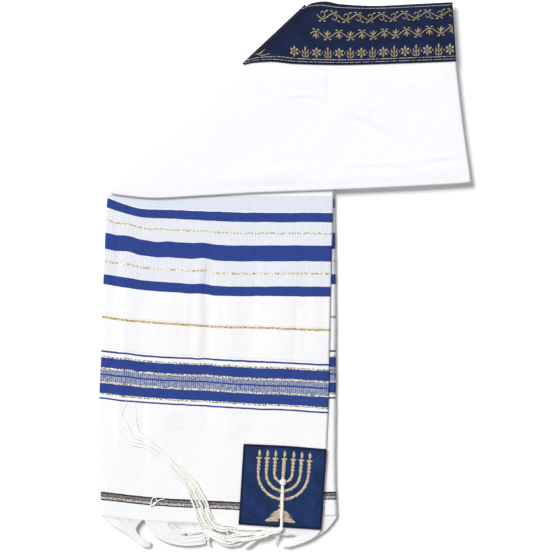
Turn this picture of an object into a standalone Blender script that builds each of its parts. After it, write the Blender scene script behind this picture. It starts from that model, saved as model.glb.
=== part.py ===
"""Tallit prayer shawl, folded lengthwise, folded over once and laid flat.

One long shawl of 0.61 m by 1.80 m. It is folded lengthwise in half, and then forward over a
slanting line, so that one end hangs down the page with its corner patch and fringes, and the
upper stretch lies over it to the right and shows the neckband.

Frame: metres, +X to the right, +Y up the page, +Z up off the surface that it lies on, z = 0.
"""

import math

import bmesh
import bpy
from mathutils import Vector

for old in list(bpy.data.objects):
    bpy.data.objects.remove(old, do_unlink=True)

# Sizes, in millimetres until the mesh is made
MM = 0.001
CLOTH = 1.2          # thickness of every cloth wall
GAP = 0.3            # space left between two pieces that touch
HIDDEN_LAYER = 1.3   # height of one hidden layer at the edges
FOLD_LOW = 1.35      # outer radius of the lengthwise fold of the lower stretch
FOLD_HIGH = 1.8      # outer radius of the folds of the upper stretch
PATCH = 0.9          # thickness of the patch and of the neckband

LOW_BACK = 2 * HIDDEN_LAYER + GAP            # underside of the back layer
LOW_TOP = LOW_BACK + 2 * FOLD_LOW            # upper side of the front layer
HIGH_BOTTOM = LOW_TOP + GAP                  # underside of the upper stretch
HIGH_TOP = HIGH_BOTTOM + 2 * FOLD_HIGH       # upper side of the upper stretch


def material(name, colour, roughness, metallic=0.0):
    made = bpy.data.materials.new(name)
    made.use_nodes = True
    shader = made.node_tree.nodes["Principled BSDF"]
    shader.inputs["Base Color"].default_value = (colour[0], colour[1], colour[2], 1.0)
    shader.inputs["Roughness"].default_value = roughness
    shader.inputs["Metallic"].default_value = metallic
    return made


WHITE_CLOTH = material("white_cloth", (0.86, 0.87, 0.92), 0.85)
BACK_CLOTH = material("back_cloth", (0.80, 0.82, 0.88), 0.85)
UPPER_CLOTH = material("upper_cloth", (0.90, 0.90, 0.93), 0.85)
NAVY_SATIN = material("navy_satin", (0.012, 0.035, 0.16), 0.4)
PATCH_SATIN = material("patch_satin", (0.016, 0.05, 0.22), 0.4)
FRINGE_YARN = material("fringe_yarn", (0.88, 0.88, 0.86), 0.9)
BACK_YARN = material("back_yarn", (0.83, 0.83, 0.82), 0.9)
IVORY_CORD = material("ivory_cord", (0.80, 0.80, 0.70), 0.75)


def between(table, at):
    """The row of a table at a place in its first column, straight between two rows."""
    if at <= table[0][0]:
        return table[0][1:]
    for low, high in zip(table, table[1:]):
        if at <= high[0]:
            share = (at - low[0]) / (high[0] - low[0])
            return tuple(a + (b - a) * share for a, b in zip(low[1:], high[1:]))
    return table[-1][1:]


def soft_step(share):
    share = min(max(share, 0.0), 1.0)
    return share * share * (3 - 2 * share)


def hump(at, middle, half_width):
    """A soft bump of height 1 that ends at half_width from its middle."""
    reach = abs(at - middle) / half_width
    return 0.0 if reach >= 1 else 0.5 + 0.5 * math.cos(math.pi * reach)


def finish_mesh(name, bm, mat):
    mesh = bpy.data.meshes.new(name)
    bmesh.ops.recalc_face_normals(bm, faces=bm.faces)
    if bm.calc_volume(signed=True) < 0:
        bmesh.ops.reverse_faces(bm, faces=bm.faces)
    bmesh.ops.scale(bm, vec=Vector((MM, MM, MM)), verts=bm.verts)
    bm.to_mesh(mesh)
    bm.free()
    made = bpy.data.objects.new(name, mesh)
    bpy.context.collection.objects.link(made)
    mesh.materials.append(mat)
    return made


def wall(name, outer, inner, faces, mat):
    """One closed cloth wall: an outer side, an inner side, and an edge face all round."""
    bm = bmesh.new()
    out_verts = {key: bm.verts.new(point) for key, point in outer.items()}
    in_verts = {key: bm.verts.new(inner[key]) for key in outer}
    used = {}
    for keys in faces:
        bm.faces.new([out_verts[key] for key in keys])
        bm.faces.new([in_verts[key] for key in reversed(keys)])
        for a, b in zip(keys, keys[1:] + keys[:1]):
            used[(a, b)] = True
    for a, b in used:
        if (b, a) not in used:
            bm.faces.new([out_verts[b], out_verts[a], in_verts[a], in_verts[b]])
    return finish_mesh(name, bm, mat)


def moved_out(outer, inner, keys, low, high):
    """Two sides of a piece that lies on a wall, made from the wall's own points."""
    below, above = {}, {}
    for key in keys:
        out = Vector(outer[key])
        normal = (out - Vector(inner[key])).normalized()
        below[key] = out + normal * low
        above[key] = out + normal * high
    return above, below


# Lower stretch: its weft lines, from the slanting fold down to the hem.
# left = height of the line at the lengthwise fold; near, mid and right = how far it has
# dropped at 12, 53 and 100 hundredths of the way to the open edge.
WEFT = (
    # left,  near,  mid,  right
    (105.3, -5.2, -13.0, -23.4),
    (103.7, 1.3, -2.6, -9.1),
    (102.0, 6.5, 7.8, 5.2),
    (100.5, 12.3, 17.9, 19.5),
    (78.7, 9.1, 16.8, 18.2),
    (55.2, 7.2, 15.9, 16.8),
    (2.0, 5.9, 15.6, 16.0),
    (-54.0, 4.5, 12.9, 17.2),
    (-106.0, 3.9, 12.0, 18.3),
    (-159.2, 3.9, 11.3, 19.5),
    (-206.7, 3.6, 10.4, 19.0),
    (-286.7, 3.9, 12.6, 19.8),
    (-313.3, 3.9, 11.1, 19.5),
)
HEM = -313.3
# Sides of the lower stretch: height, lengthwise fold, front open edge, back open edge
SIDES = (
    # y,      fold,   front, back
    (-333.0, -238.9, 46.4, 67.0),
    (-313.3, -238.9, 47.6, 67.2),
    (-291.9, -239.3, 49.0, 65.4),
    (-252.9, -239.6, 51.4, 64.6),
    (-200.8, -240.2, 53.8, 64.8),
    (-150.2, -240.2, 55.9, 65.0),
    (-106.0, -238.6, 56.7, 65.2),
    (-54.0, -237.0, 57.6, 65.3),
    (2.0, -235.0, 58.8, 64.9),
    (55.2, -233.1, 60.6, 64.1),
    (82.5, -232.0, 61.4, 63.6),
    (105.3, -230.4, 61.7, 63.2),
    (129.3, -230.4, 61.9, 63.0),
)
ACROSS = (0.0, 0.02, 0.045, 0.075, 0.11, 0.15, 0.2, 0.25, 0.3, 0.35, 0.39, 0.425, 0.455,
          0.485, 0.52, 0.57, 0.633, 0.69, 0.75, 0.81, 0.87, 0.93, 0.983, 1.0)
BACK_ACROSS = (1.0, 0.97, 0.8, 0.6, 0.4, 0.2, 0.0)
PATCH_TOP = -206.7
PATCH_FOOT = -311.0
PATCH_LEFT = 0.633
PATCH_RIGHT = 0.983

# Soft ridges (height above 0) and troughs (below) that run along the lower stretch
LONG_FOLDS = (
    # across, half width, from y, to y, height
    (0.10, 0.085, 90.0, -300.0, 0.9),
    (0.045, 0.03, 60.0, -240.0, -0.5),
    (0.28, 0.17, 70.0, -290.0, 1.1),
    (0.425, 0.05, 95.0, -150.0, 0.8),
    (0.46, 0.035, 90.0, -200.0, -0.7),
    (0.56, 0.10, 80.0, -260.0, 1.0),
    (0.78, 0.16, 90.0, -190.0, 1.2),
    (0.93, 0.05, 60.0, -120.0, 0.5),
)


def weft_drop(left, across):
    near, mid, right = between([(-row[0],) + row[1:] for row in WEFT], -left)
    curve = ((0.0, 0.0), (0.12, near), (0.3, near + (mid - near) * 0.55),
             (0.53, mid), (0.76, mid + (right - mid) * 0.42), (1.0, right))
    return between(curve, across)[0]


def swell(left, across):
    """How far the front layer stands off the back one."""
    rise = 0.35 + 0.2 * math.sin(left * 0.031 + across * 5.0)
    for middle, half, start, end, height in LONG_FOLDS:
        along = hump(left, 0.5 * (start + end), 0.5 * abs(start - end))
        rise += height * hump(across, middle, half) * min(1.0, 1.6 * along)
    flat_left = soft_step(across / 0.04)
    flat_right = soft_step((1.0 - across) / 0.05)
    flat_hem = soft_step((left - HEM) / 45.0)
    flat_top = soft_step((105.3 - left) / 14.0)
    return max(rise, 0.0) * flat_left * flat_right * flat_hem * flat_top


def front_point(left, across):
    height = left - weft_drop(left, across)
    fold = between(SIDES, left)[0]
    edge = between(SIDES, height)[1]
    start = fold + FOLD_LOW
    return start + (edge - start) * across, height, LOW_TOP + swell(left, across)


def lefts():
    rows = [105.3, 103.7, 102.0, 100.5]
    for start, end, count in ((100.5, PATCH_TOP, 24), (PATCH_TOP, PATCH_FOOT, 8)):
        rows += [start + (end - start) * k / count for k in range(1, count + 1)]
    return rows + [HEM]


def build_lower_panel():
    outer, inner, faces = {}, {}, []
    rows = lefts()
    fold_steps = 4
    for i, left in enumerate(rows):
        j = 0
        for across in reversed(ACROSS):
            x, y, z = front_point(left, across)
            outer[(i, j)] = (x, y, z)
            inner[(i, j)] = (x, y, z - CLOTH)
            j += 1
        fold, _, back = between(SIDES, left)
        middle = LOW_BACK + FOLD_LOW
        for k in range(1, fold_steps):
            turn = math.pi * k / fold_steps
            for side, radius in ((outer, FOLD_LOW), (inner, FOLD_LOW - CLOTH)):
                side[(i, j)] = (fold + FOLD_LOW - radius * math.sin(turn), left,
                                middle + radius * math.cos(turn))
            j += 1
        for across in reversed(BACK_ACROSS):
            x = fold + FOLD_LOW + (back - fold - FOLD_LOW) * across
            outer[(i, j)] = (x, left, LOW_BACK)
            inner[(i, j)] = (x, left, LOW_BACK + CLOTH)
            j += 1
    for i in range(len(rows) - 1):
        for k in range(j - 1):
            faces.append([(i, k), (i, k + 1), (i + 1, k + 1), (i + 1, k)])
    made = wall("lower_panel", outer, inner, faces, WHITE_CLOTH)

    near = len(ACROSS) - 1 - ACROSS.index(PATCH_RIGHT)
    far = len(ACROSS) - 1 - ACROSS.index(PATCH_LEFT)
    top = min(range(len(rows)), key=lambda k: abs(rows[k] - PATCH_TOP))
    foot = min(range(len(rows)), key=lambda k: abs(rows[k] - PATCH_FOOT))
    spots = [(i, k) for i in range(top, foot + 1) for k in range(near, far + 1)]
    above, below = moved_out(outer, inner, spots, GAP, GAP + PATCH)
    cells = [f for f in faces if all(key in above for key in f)]
    wall("corner_patch", above, below, cells, PATCH_SATIN)
    return made


# Upper stretch: its four sides, each point (x, y) with how far along the side it stands
UPPER_LEFT = (
    # along, x, y: the slanting fold, from its lower corner to the open edge
    (0.00, -229.4, 107.4),
    (0.02, -225.6, 113.2),
    (0.20, -193.9, 143.0),
    (0.40, -156.6, 178.8),
    (0.60, -114.6, 219.0),
    (0.68, -99.0, 233.9),
    (0.76, -78.3, 253.5),
    (0.84, -55.9, 274.9),
    (0.92, -17.4, 311.0),
    (1.00, 25.0, 350.9),
)
UPPER_BOTTOM = (
    # along, x, y: the lengthwise fold
    (0.00, -229.4, 107.4),
    (0.02, -221.0, 104.9),
    (0.12, -173.9, 100.3),
    (0.25, -111.5, 103.2),
    (0.40, -41.3, 107.2),
    (0.62, 62.7, 111.2),
    (0.81, 148.5, 115.0),
    (0.98, 234.0, 119.9),
    (1.00, 240.2, 121.5),
)
UPPER_RIGHT = (
    # along, x, y: the fold across the middle of the shawl
    (0.00, 240.2, 121.5),
    (0.04, 239.5, 129.0),
    (0.42, 230.4, 193.1),
    (0.68, 223.9, 247.7),
    (0.84, 220.7, 278.3),
    (0.92, 218.0, 319.2),
    (1.00, 215.5, 354.6),
)
UPPER_TOP = (
    # along, x, y: the open long edge with the neckband
    (0.00, 25.0, 350.9),
    (0.05, 34.1, 354.4),
    (0.14, 51.9, 355.6),
    (0.24, 70.5, 352.2),
    (0.46, 113.4, 349.9),
    (0.73, 164.1, 352.0),
    (1.00, 215.5, 354.6),
)
BAND_FOOT = 0.84
UP_ROWS = (0.0, 0.06, 0.14, 0.23, 0.32, 0.41, 0.5, 0.59, 0.68, 0.76, 0.84, 0.87, 0.9, 0.93, 0.965, 1.0)
UP_COLUMNS = (0.0, 0.02, 0.06, 0.11, 0.16, 0.21, 0.26, 0.31, 0.36, 0.41, 0.46, 0.51, 0.56,
              0.61, 0.66, 0.71, 0.76, 0.81, 0.86, 0.91, 0.95, 0.98, 1.0)
FOLD_TURN = 5

# Soft creases of the upper stretch: start x, y, end x, y, half width, height
UPPER_CREASES = (
    (-150.0, 130.0, 60.0, 300.0, 46.0, 0.8),
    (44.0, 231.0, 148.0, 170.0, 12.0, -0.6),
    (60.0, 250.0, 165.0, 196.0, 26.0, 0.8),
    (56.0, 263.0, 56.0, 217.0, 9.0, -0.5),
    (62.0, 138.0, 215.0, 140.0, 14.0, 0.7),
    (200.0, 120.0, 232.0, 152.0, 10.0, -0.5),
    (100.0, 255.0, 200.0, 235.0, 24.0, 0.7),
    (-90.0, 125.0, 40.0, 135.0, 18.0, 0.6),
)


def crease_rise(x, y, table):
    rise = 0.0
    for x0, y0, x1, y1, half, height in table:
        length = math.hypot(x1 - x0, y1 - y0)
        along = ((x - x0) * (x1 - x0) + (y - y0) * (y1 - y0)) / length ** 2
        off = ((x - x0) * (y1 - y0) - (y - y0) * (x1 - x0)) / length
        rise += height * hump(off, 0.0, half) * hump(along, 0.5, 0.62)
    return rise


def side_point(table, along):
    return Vector(between(table, along))


def upper_outline():
    """Edge of the upper stretch seen from above, down the slant, along the fold and up."""
    points = [side_point(UPPER_LEFT, t) for t in reversed(UP_ROWS)]
    points += [side_point(UPPER_BOTTOM, s) for s in UP_COLUMNS[1:]]
    points += [side_point(UPPER_RIGHT, t) for t in UP_ROWS[1:]]
    return points


def inward(points, k):
    """Direction into the cloth at a point of the outline, longer at a corner."""
    before = points[max(k - 1, 0)]
    after = points[min(k + 1, len(points) - 1)]
    here = points[k]
    normals = []
    for a, b in ((before, here), (here, after)):
        if (b - a).length > 1e-6:
            step = (b - a).normalized()
            normals.append(Vector((-step.y, step.x)))
    middle = sum(normals, Vector((0.0, 0.0))).normalized()
    return middle / max(0.55, middle.dot(normals[0]))


def build_upper_panel():
    outline = upper_outline()
    rows, columns = len(UP_ROWS), len(UP_COLUMNS)
    edge = [p + inward(outline, k) * FOLD_HIGH for k, p in enumerate(outline)]
    left = [edge[rows - 1 - i] for i in range(rows)]
    bottom = edge[rows - 1:rows - 1 + columns]
    right = edge[rows + columns - 2:]
    top = [side_point(UPPER_TOP, s) for s in UP_COLUMNS]
    top[0] = left[-1]
    top[-1] = right[-1]
    outer, inner, faces = {}, {}, []
    for i, t in enumerate(UP_ROWS):
        for j, s in enumerate(UP_COLUMNS):
            along = left[i] * (1 - s) + right[i] * s
            up = bottom[j] * (1 - t) + top[j] * t
            corners = (bottom[0] * (1 - s) * (1 - t) + bottom[-1] * s * (1 - t)
                       + top[0] * (1 - s) * t + top[-1] * s * t)
            at = along + up - corners
            flat = (soft_step(s / 0.06) * soft_step((1 - s) / 0.06) * soft_step(t / 0.08)
                    * (1 - 0.7 * soft_step((t - 0.78) / 0.06)))
            rise = max(0.45 + crease_rise(at.x, at.y, UPPER_CREASES), 0.0) * flat
            outer[(i, j)] = (at.x, at.y, HIGH_TOP + rise)
            inner[(i, j)] = (at.x, at.y, HIGH_TOP + rise - CLOTH)
    for i in range(rows - 1):
        for j in range(columns - 1):
            faces.append([(i, j), (i, j + 1), (i + 1, j + 1), (i + 1, j)])
    rim_start = ([(i, 0) for i in reversed(range(rows))] + [(0, j) for j in range(1, columns)]
                 + [(i, columns - 1) for i in range(1, rows)])
    middle = HIGH_BOTTOM + FOLD_HIGH
    for k, key in enumerate(rim_start):
        into = inward(outline, k)
        for step in range(1, FOLD_TURN + 1):
            turn = math.pi * step / FOLD_TURN
            for side, radius in ((outer, FOLD_HIGH), (inner, FOLD_HIGH - CLOTH)):
                at = outline[k] + into * (FOLD_HIGH - radius * math.sin(turn))
                side[("rim", k, step)] = (at.x, at.y, middle + radius * math.cos(turn))
    for k in range(len(rim_start) - 1):
        a, b = rim_start[k], rim_start[k + 1]
        for step in range(1, FOLD_TURN + 1):
            c, d = ("rim", k + 1, step), ("rim", k, step)
            faces.append([b, a, d, c])
            a, b = d, c
    wall("upper_panel", outer, inner, faces, UPPER_CLOTH)

    foot = UP_ROWS.index(BAND_FOOT)
    last = len(rim_start) - 1
    spots = [(i, j) for i in range(foot, rows) for j in range(columns)]
    for k in list(range(rows - foot)) + list(range(last - (rows - foot) + 1, last + 1)):
        spots += [("rim", k, step) for step in range(1, 3)]
    above, below = moved_out(outer, inner, spots, GAP, GAP + PATCH)
    cells = [f for f in faces if all(key in above for key in f)]
    wall("neckband", above, below, cells, NAVY_SATIN)
    return outline, top


# Hidden layers: rounded slabs, one on another, layered at their edges
def slab(name, outline, start, layers, layer, mat, sunk=0.0):
    """Layers of folded cloth with rounded edges over a flat foot."""
    closed = outline + outline[:2]
    inwards = [inward(closed[k:k + 3], 1) for k in range(len(outline))]
    inwards = inwards[-1:] + inwards[:-1]
    rings = []
    for k in range(layers):
        base = start + k * layer - (sunk if k == 0 else 0.0)
        rings += [(0.55, base), (0.12, base + 0.25 * layer), (0.12, base + 0.75 * layer)]
    rings.append((0.55, start + layers * layer))
    bm = bmesh.new()
    loops = []
    for inset, z in rings:
        loops.append([bm.verts.new((p.x + n.x * inset, p.y + n.y * inset, z))
                      for p, n in zip(outline, inwards)])
    count = len(outline)
    for low, high in zip(loops, loops[1:]):
        for k in range(count):
            m = (k + 1) % count
            bm.faces.new([low[k], low[m], high[m], high[k]])
    bm.faces.new(list(reversed(loops[0])))
    bm.faces.new(loops[-1])
    bmesh.ops.triangulate(bm, faces=[f for f in bm.faces if len(f.verts) > 4])
    return finish_mesh(name, bm, mat)


def shifted(points, amount):
    return [p + inward(points, k) * amount for k, p in enumerate(points)]


def join_into(base, tools):
    """Union the tools into the base object, one closed body."""
    for tool in tools:
        tool.hide_render = True
        tool.display_type = "WIRE"
        cut = base.modifiers.new("join_" + tool.name, "BOOLEAN")
        cut.operation = "UNION"
        cut.solver = "EXACT"
        cut.object = tool


# Filling between the layers of the upper stretch, seen from above
CORE = (
    # x, y
    (-182.0, 141.0), (64.0, 141.0), (74.0, 122.0), (150.0, 124.5), (230.0, 129.5),
    (222.0, 193.0), (216.0, 245.0), (213.0, 278.0), (209.0, 343.0), (60.0, 343.0),
    (34.0, 341.0), (-14.0, 302.0), (-50.0, 268.0), (-93.0, 227.0), (-151.0, 172.0),
)
EDGE_INSET = 1.6


def build_hidden_layers(outline, top):
    edge = shifted(outline, EDGE_INSET)
    top_edge = [Vector((213.2, 352.4))]
    top_edge += [p + Vector((0.0, -EDGE_INSET)) for p in reversed(top[2:-3])]
    corner = len(UP_ROWS) - 1
    slant = edge[1:corner - 1]
    bottom = edge[corner + 1:corner + len(UP_COLUMNS) - 1]
    right = edge[corner + len(UP_COLUMNS):-1]
    beyond = [p for p in bottom if p.x > 72.0]

    # Whole folded shawl, two layers high, right down to the hem
    down = [Vector((between(SIDES, y)[0] + 1.0, y))
            for y in (88.0, 55.0, 2.0, -54.0, -106.0, -150.0, -200.0, -253.0, -290.0)]
    foot = [Vector(p) for p in ((-235.0, -308.0), (-226.0, -311.0), (-150.0, -311.0),
                                (-60.0, -311.0), (0.0, -311.0), (56.0, -311.0), (62.0, -305.0))]
    up = [Vector((between(SIDES, y)[2] - 2.5, y))
          for y in (-290.0, -200.0, -100.0, 0.0, 60.0)]
    up.append(Vector((62.6, 112.6)))
    whole = slant + [Vector((-226.0, 108.0))] + down + foot + up + beyond + right + top_edge
    base = slab("hidden_layers", whole, 0.0, 2, HIDDEN_LAYER, BACK_CLOTH)

    # Layers under the upper stretch alone, clear of the end of the lower stretch
    notch = [Vector((-196.0, 135.0)), Vector((-81.0, 126.0)), Vector((68.0, 135.5)),
             Vector((69.0, 115.0))]
    above = [p for p in slant if p.y > 140.0] + notch + beyond + right + top_edge
    above = shifted(above, 0.45)
    middle = slab("middle_layers", above, 2 * HIDDEN_LAYER, 2, 1.5, BACK_CLOTH, sunk=0.5)
    filling = slab("core_layers", [Vector(p) for p in CORE], LOW_TOP, 1, 1.8, BACK_CLOTH, sunk=0.5)
    join_into(base, [middle, filling])


def surface_of_front(x, y):
    """Height of the front layer's upper side at a place on the page."""
    left = y
    across = 0.5
    for _ in range(4):
        fold = between(SIDES, left)[0] + FOLD_LOW
        edge = between(SIDES, y)[1]
        across = min(max((x - fold) / (edge - fold), 0.0), 1.0)
        left = min(max(y + weft_drop(left, across), HEM), 105.0)
    return LOW_TOP + swell(left, across)


def add_strand(bm, path, width, height):
    """One strand of four sides along a path of points, closed at both ends."""
    loops = []
    for k, at in enumerate(path):
        ahead = path[min(k + 1, len(path) - 1)] - path[max(k - 1, 0)]
        side = Vector((-ahead.y, ahead.x, 0.0)).normalized()
        taper = 0.6 if k == len(path) - 1 else 1.0
        up = Vector((0.0, 0.0, 1.0))
        corners = ((side, width), (up, height), (-side, width), (-up, height))
        loops.append([bm.verts.new(at + turn * (0.5 * size * taper)) for turn, size in corners])
    for low, high in zip(loops, loops[1:]):
        for k in range(4):
            m = (k + 1) % 4
            bm.faces.new([low[k], low[m], high[m], high[k]])
    bm.faces.new(list(reversed(loops[0])))
    bm.faces.new(loops[-1])


def bend(start, lean, pull, end, share):
    """A point on a smooth curve that leaves start towards lean and reaches end from pull."""
    rest = 1 - share
    return (start * rest ** 3 + lean * (3 * share * rest ** 2)
            + pull * (3 * share ** 2 * rest) + end * share ** 3)


# Hem fringe in groups, each swept to one side. All in millimetres on the page.
# The first strand's root x, its two bend points and its tip, then the step from one strand
# to the next for each of them, and the height of the tips.
FRONT_GROUPS = (
    # count, root x, step, lean, step, pull, step, tip, step, tip height
    (5, -234.0, 7.2, (-230.0, -333.0), (6.4, 2.4), (-204.0, -331.0), (3.6, 1.6),
     (-182.0, -354.2), (2.2, 1.7), 0.95),
    (13, -181.0, 6.4, (-177.0, -346.0), (5.8, 1.2), (-140.0, -361.0), (3.2, 2.3),
     (-101.0, -349.0), (1.2, 2.2), 0.95),
    (4, -93.0, 8.0, (-91.0, -344.0), (7.6, 1.8), (-78.0, -350.0), (6.4, 2.2),
     (-66.0, -346.0), (5.2, 2.4), 0.95),
    (3, -45.0, 5.6, (-41.0, -337.0), (4.6, 0.6), (-46.0, -343.0), (3.2, 1.0),
     (-58.0, -354.2), (3.0, 0.2), 0.95),
    (5, -8.0, 9.0, (-8.0, -344.0), (8.2, 2.0), (4.0, -347.5), (6.6, 2.3),
     (20.0, -345.5), (5.2, 2.5), 3.5),
)
STRIP = 3.0
STRAND_WIDE = 1.9
STRAND_HIGH = 1.3


def hem_height(x):
    """Height on the page of the front layer's cut edge."""
    fold = between(SIDES, HEM)[0] + FOLD_LOW
    edge = between(SIDES, -333.0)[1]
    return HEM - weft_drop(HEM, min(max((x - fold) / (edge - fold), 0.0), 1.0))


def edge_strip(name, points, low, high, mat):
    """The sewn heading of a fringe, a narrow strip along an edge of the cloth."""
    bm = bmesh.new()
    loops = []
    for x, y in points:
        loops.append([bm.verts.new(p) for p in ((x, y - GAP, low), (x, y - GAP - STRIP, low),
                                                (x, y - GAP - STRIP, high), (x, y - GAP, high))])
    for a, b in zip(loops, loops[1:]):
        for k in range(4):
            m = (k + 1) % 4
            bm.faces.new([a[k], a[m], b[m], b[k]])
    bm.faces.new(list(reversed(loops[0])))
    bm.faces.new(loops[-1])
    return finish_mesh(name, bm, mat)


def build_front_fringe():
    fold = between(SIDES, HEM)[0] + FOLD_LOW
    span = between(SIDES, -333.0)[1] - fold
    shares = [0.005] + [across for across in ACROSS[1:-1] if across > 0.03] + [0.996]
    points = [(fold + span * across, hem_height(fold + span * across)) for across in shares]
    strip = edge_strip("front_fringe", points, LOW_TOP - 1.3, LOW_TOP, FRINGE_YARN)
    bm = bmesh.new()
    for (count, root, step, lean, lean_step, pull, pull_step, tip, tip_step, floor) in FRONT_GROUPS:
        for k in range(count):
            x = root + step * k
            start = Vector((x, hem_height(x) - GAP - 0.5 * STRIP, LOW_TOP - 0.65))
            a = Vector((lean[0] + lean_step[0] * k, lean[1] + lean_step[1] * k, 0.0))
            b = Vector((pull[0] + pull_step[0] * k, pull[1] + pull_step[1] * k, 0.0))
            c = Vector((tip[0] + tip_step[0] * k, tip[1] + tip_step[1] * k, 0.0))
            path = []
            for n in range(9):
                at = bend(start, a, b, c, n / 8)
                at.z = start.z + (floor - start.z) * soft_step(n / 8 / 0.55)
                path.append(at)
            add_strand(bm, path, STRAND_WIDE, STRAND_HIGH)
    strands = finish_mesh("front_strands", bm, FRINGE_YARN)
    join_into(strip, [strands])


BACK_COUNT = 10
BACK_ROOT = (64.0, -4.4)
BACK_LEAN = ((52.0, -338.0), (-3.2, 1.6))
BACK_PULL = ((26.0, -351.0), (-1.0, 2.3))
BACK_TIP = ((-2.5, -354.4), (1.2, 2.6))


def build_back_fringe():
    points = [(x, HEM) for x in (16.0, 32.0, 50.0, 66.4)]
    strip = edge_strip("back_fringe", points, LOW_BACK, LOW_BACK + 1.2, BACK_YARN)
    bm = bmesh.new()
    for k in range(BACK_COUNT):
        start = Vector((BACK_ROOT[0] + BACK_ROOT[1] * k, HEM - GAP - 0.5 * STRIP, LOW_BACK + 0.6))
        a, b, c = [Vector((first[0] + step[0] * k, first[1] + step[1] * k, 0.0))
                   for first, step in (BACK_LEAN, BACK_PULL, BACK_TIP)]
        path = []
        for n in range(9):
            at = bend(start, a, b, c, n / 8)
            at.z = start.z + (0.95 - start.z) * soft_step(n / 8 / 0.4)
            path.append(at)
        add_strand(bm, path, STRAND_WIDE, STRAND_HIGH)
    strands = finish_mesh("back_strands", bm, BACK_YARN)
    join_into(strip, [strands])


# Knotted corner fringe: the wound drop from its hole in the patch over the hem
HOLE = (-3.6, -268.4)
DROP_FOOT = (-5.6, -328.0)
DROP_RADIUS = 2.2
KNOTS = (
    # share of the drop, radius
    (0.0, 4.3), (0.36, 2.9), (0.68, 2.9), (1.0, 3.4),
)
# Its eight free strands: middle line, pitch between strands and height off the surface
FREE_LINE = (
    # along, x, y, pitch, clearance
    (0.00, -5.5, -326.0, 0.6, 3.4),
    (0.025, -8.5, -331.5, 0.9, 4.0),
    (0.08, -23.1, -337.1, 2.0, 2.8),
    (0.16, -46.5, -341.6, 2.8, 2.2),
    (0.25, -69.9, -340.8, 2.8, 2.2),
    (0.33, -89.5, -331.9, 2.3, 1.6),
    (0.41, -101.4, -312.4, 2.2, 1.2),
    (0.48, -107.6, -294.4, 2.3, 1.2),
    (0.56, -115.4, -274.9, 2.3, 1.2),
    (0.65, -131.0, -252.9, 2.4, 1.2),
    (0.75, -153.1, -233.3, 2.5, 1.2),
    (0.86, -179.1, -216.5, 3.2, 1.2),
    (0.94, -197.0, -197.8, 4.2, 1.2),
    (1.00, -206.0, -180.3, 4.6, 1.2),
)
FREE_ENDS = (0.88, 0.96, 0.90, 1.0, 0.93, 0.98, 0.91, 0.86)
FREE_WIDE = 1.5


def build_corner_fringe():
    bm = bmesh.new()
    loops = []
    steps = 28
    sides = 8
    for n in range(steps + 1):
        share = n / steps
        radius = DROP_RADIUS
        for at, size in KNOTS:
            radius = max(radius, DROP_RADIUS + (size - DROP_RADIUS) * hump(share, at, 0.085))
        x = HOLE[0] + (DROP_FOOT[0] - HOLE[0]) * share
        y = HOLE[1] + 3.0 + (DROP_FOOT[1] - HOLE[1] - 4.0) * share
        if n in (0, steps):
            radius *= 0.55
        high = radius * 0.72
        base = surface_of_front(x, max(y, -324.0)) + 2 * GAP + PATCH
        loop = []
        for k in range(sides):
            turn = 2 * math.pi * k / sides
            loop.append(bm.verts.new((x + radius * math.cos(turn), y,
                                      base + high * (1 + math.sin(turn)))))
        loops.append(loop)
    for a, b in zip(loops, loops[1:]):
        for k in range(sides):
            m = (k + 1) % sides
            bm.faces.new([a[k], a[m], b[m], b[k]])
    bm.faces.new(list(reversed(loops[0])))
    bm.faces.new(loops[-1])
    drop = finish_mesh("corner_fringe", bm, IVORY_CORD)

    strands = []
    for k, end in enumerate(FREE_ENDS):
        bm = bmesh.new()
        lane = k - 0.5 * (len(FREE_ENDS) - 1)
        count = 26
        path = []
        for n in range(count + 1):
            along = end * n / count
            x, y, pitch, clear = between(FREE_LINE, along)
            ahead = Vector(between(FREE_LINE, min(along + 0.03, 1.0))[:2])
            behind = Vector(between(FREE_LINE, max(along - 0.03, 0.0))[:2])
            run = (ahead - behind).normalized()
            at = Vector((x, y)) + Vector((-run.y, run.x)) * (lane * pitch)
            floor = surface_of_front(at.x, at.y) if at.y > hem_height(at.x) - 6.0 else LOW_TOP - 1.0
            path.append(Vector((at.x, at.y, floor + clear)))
        add_strand(bm, path, FREE_WIDE, 1.3)
        strands.append(finish_mesh("free_strand_%d" % k, bm, IVORY_CORD))
    join_into(drop, strands)


build_lower_panel()
UPPER_EDGE, UPPER_TOP_EDGE = build_upper_panel()
build_hidden_layers(UPPER_EDGE, UPPER_TOP_EDGE)
build_front_fringe()
build_back_fringe()
build_corner_fringe()
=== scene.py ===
# %% [markdown]
# # A prayer shawl, folded and laid flat
# The shawl is one long white cloth with woven blue and gold stripes, a satin neckband, a satin
# corner patch, a knotted corner fringe and a twisted hem fringe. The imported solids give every
# place and size. This script dresses them: each soft piece is a thin shell on its solid's form,
# with its weave, its stripes, its creases and its stitches.

# %% Frame
import math

import bmesh
import bpy
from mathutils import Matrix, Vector, noise


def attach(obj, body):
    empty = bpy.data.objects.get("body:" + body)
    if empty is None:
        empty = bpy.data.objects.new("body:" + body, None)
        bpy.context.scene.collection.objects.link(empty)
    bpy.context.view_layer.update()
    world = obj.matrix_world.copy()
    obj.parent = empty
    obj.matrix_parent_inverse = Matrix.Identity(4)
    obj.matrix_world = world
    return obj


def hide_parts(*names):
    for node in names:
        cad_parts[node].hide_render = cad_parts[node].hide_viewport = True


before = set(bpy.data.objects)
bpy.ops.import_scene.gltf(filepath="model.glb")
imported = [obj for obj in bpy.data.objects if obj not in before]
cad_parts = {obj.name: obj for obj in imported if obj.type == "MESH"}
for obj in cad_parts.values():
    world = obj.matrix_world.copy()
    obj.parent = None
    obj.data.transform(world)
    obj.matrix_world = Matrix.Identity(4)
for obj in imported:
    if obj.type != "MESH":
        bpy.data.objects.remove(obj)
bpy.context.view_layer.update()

MM = 0.001
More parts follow.
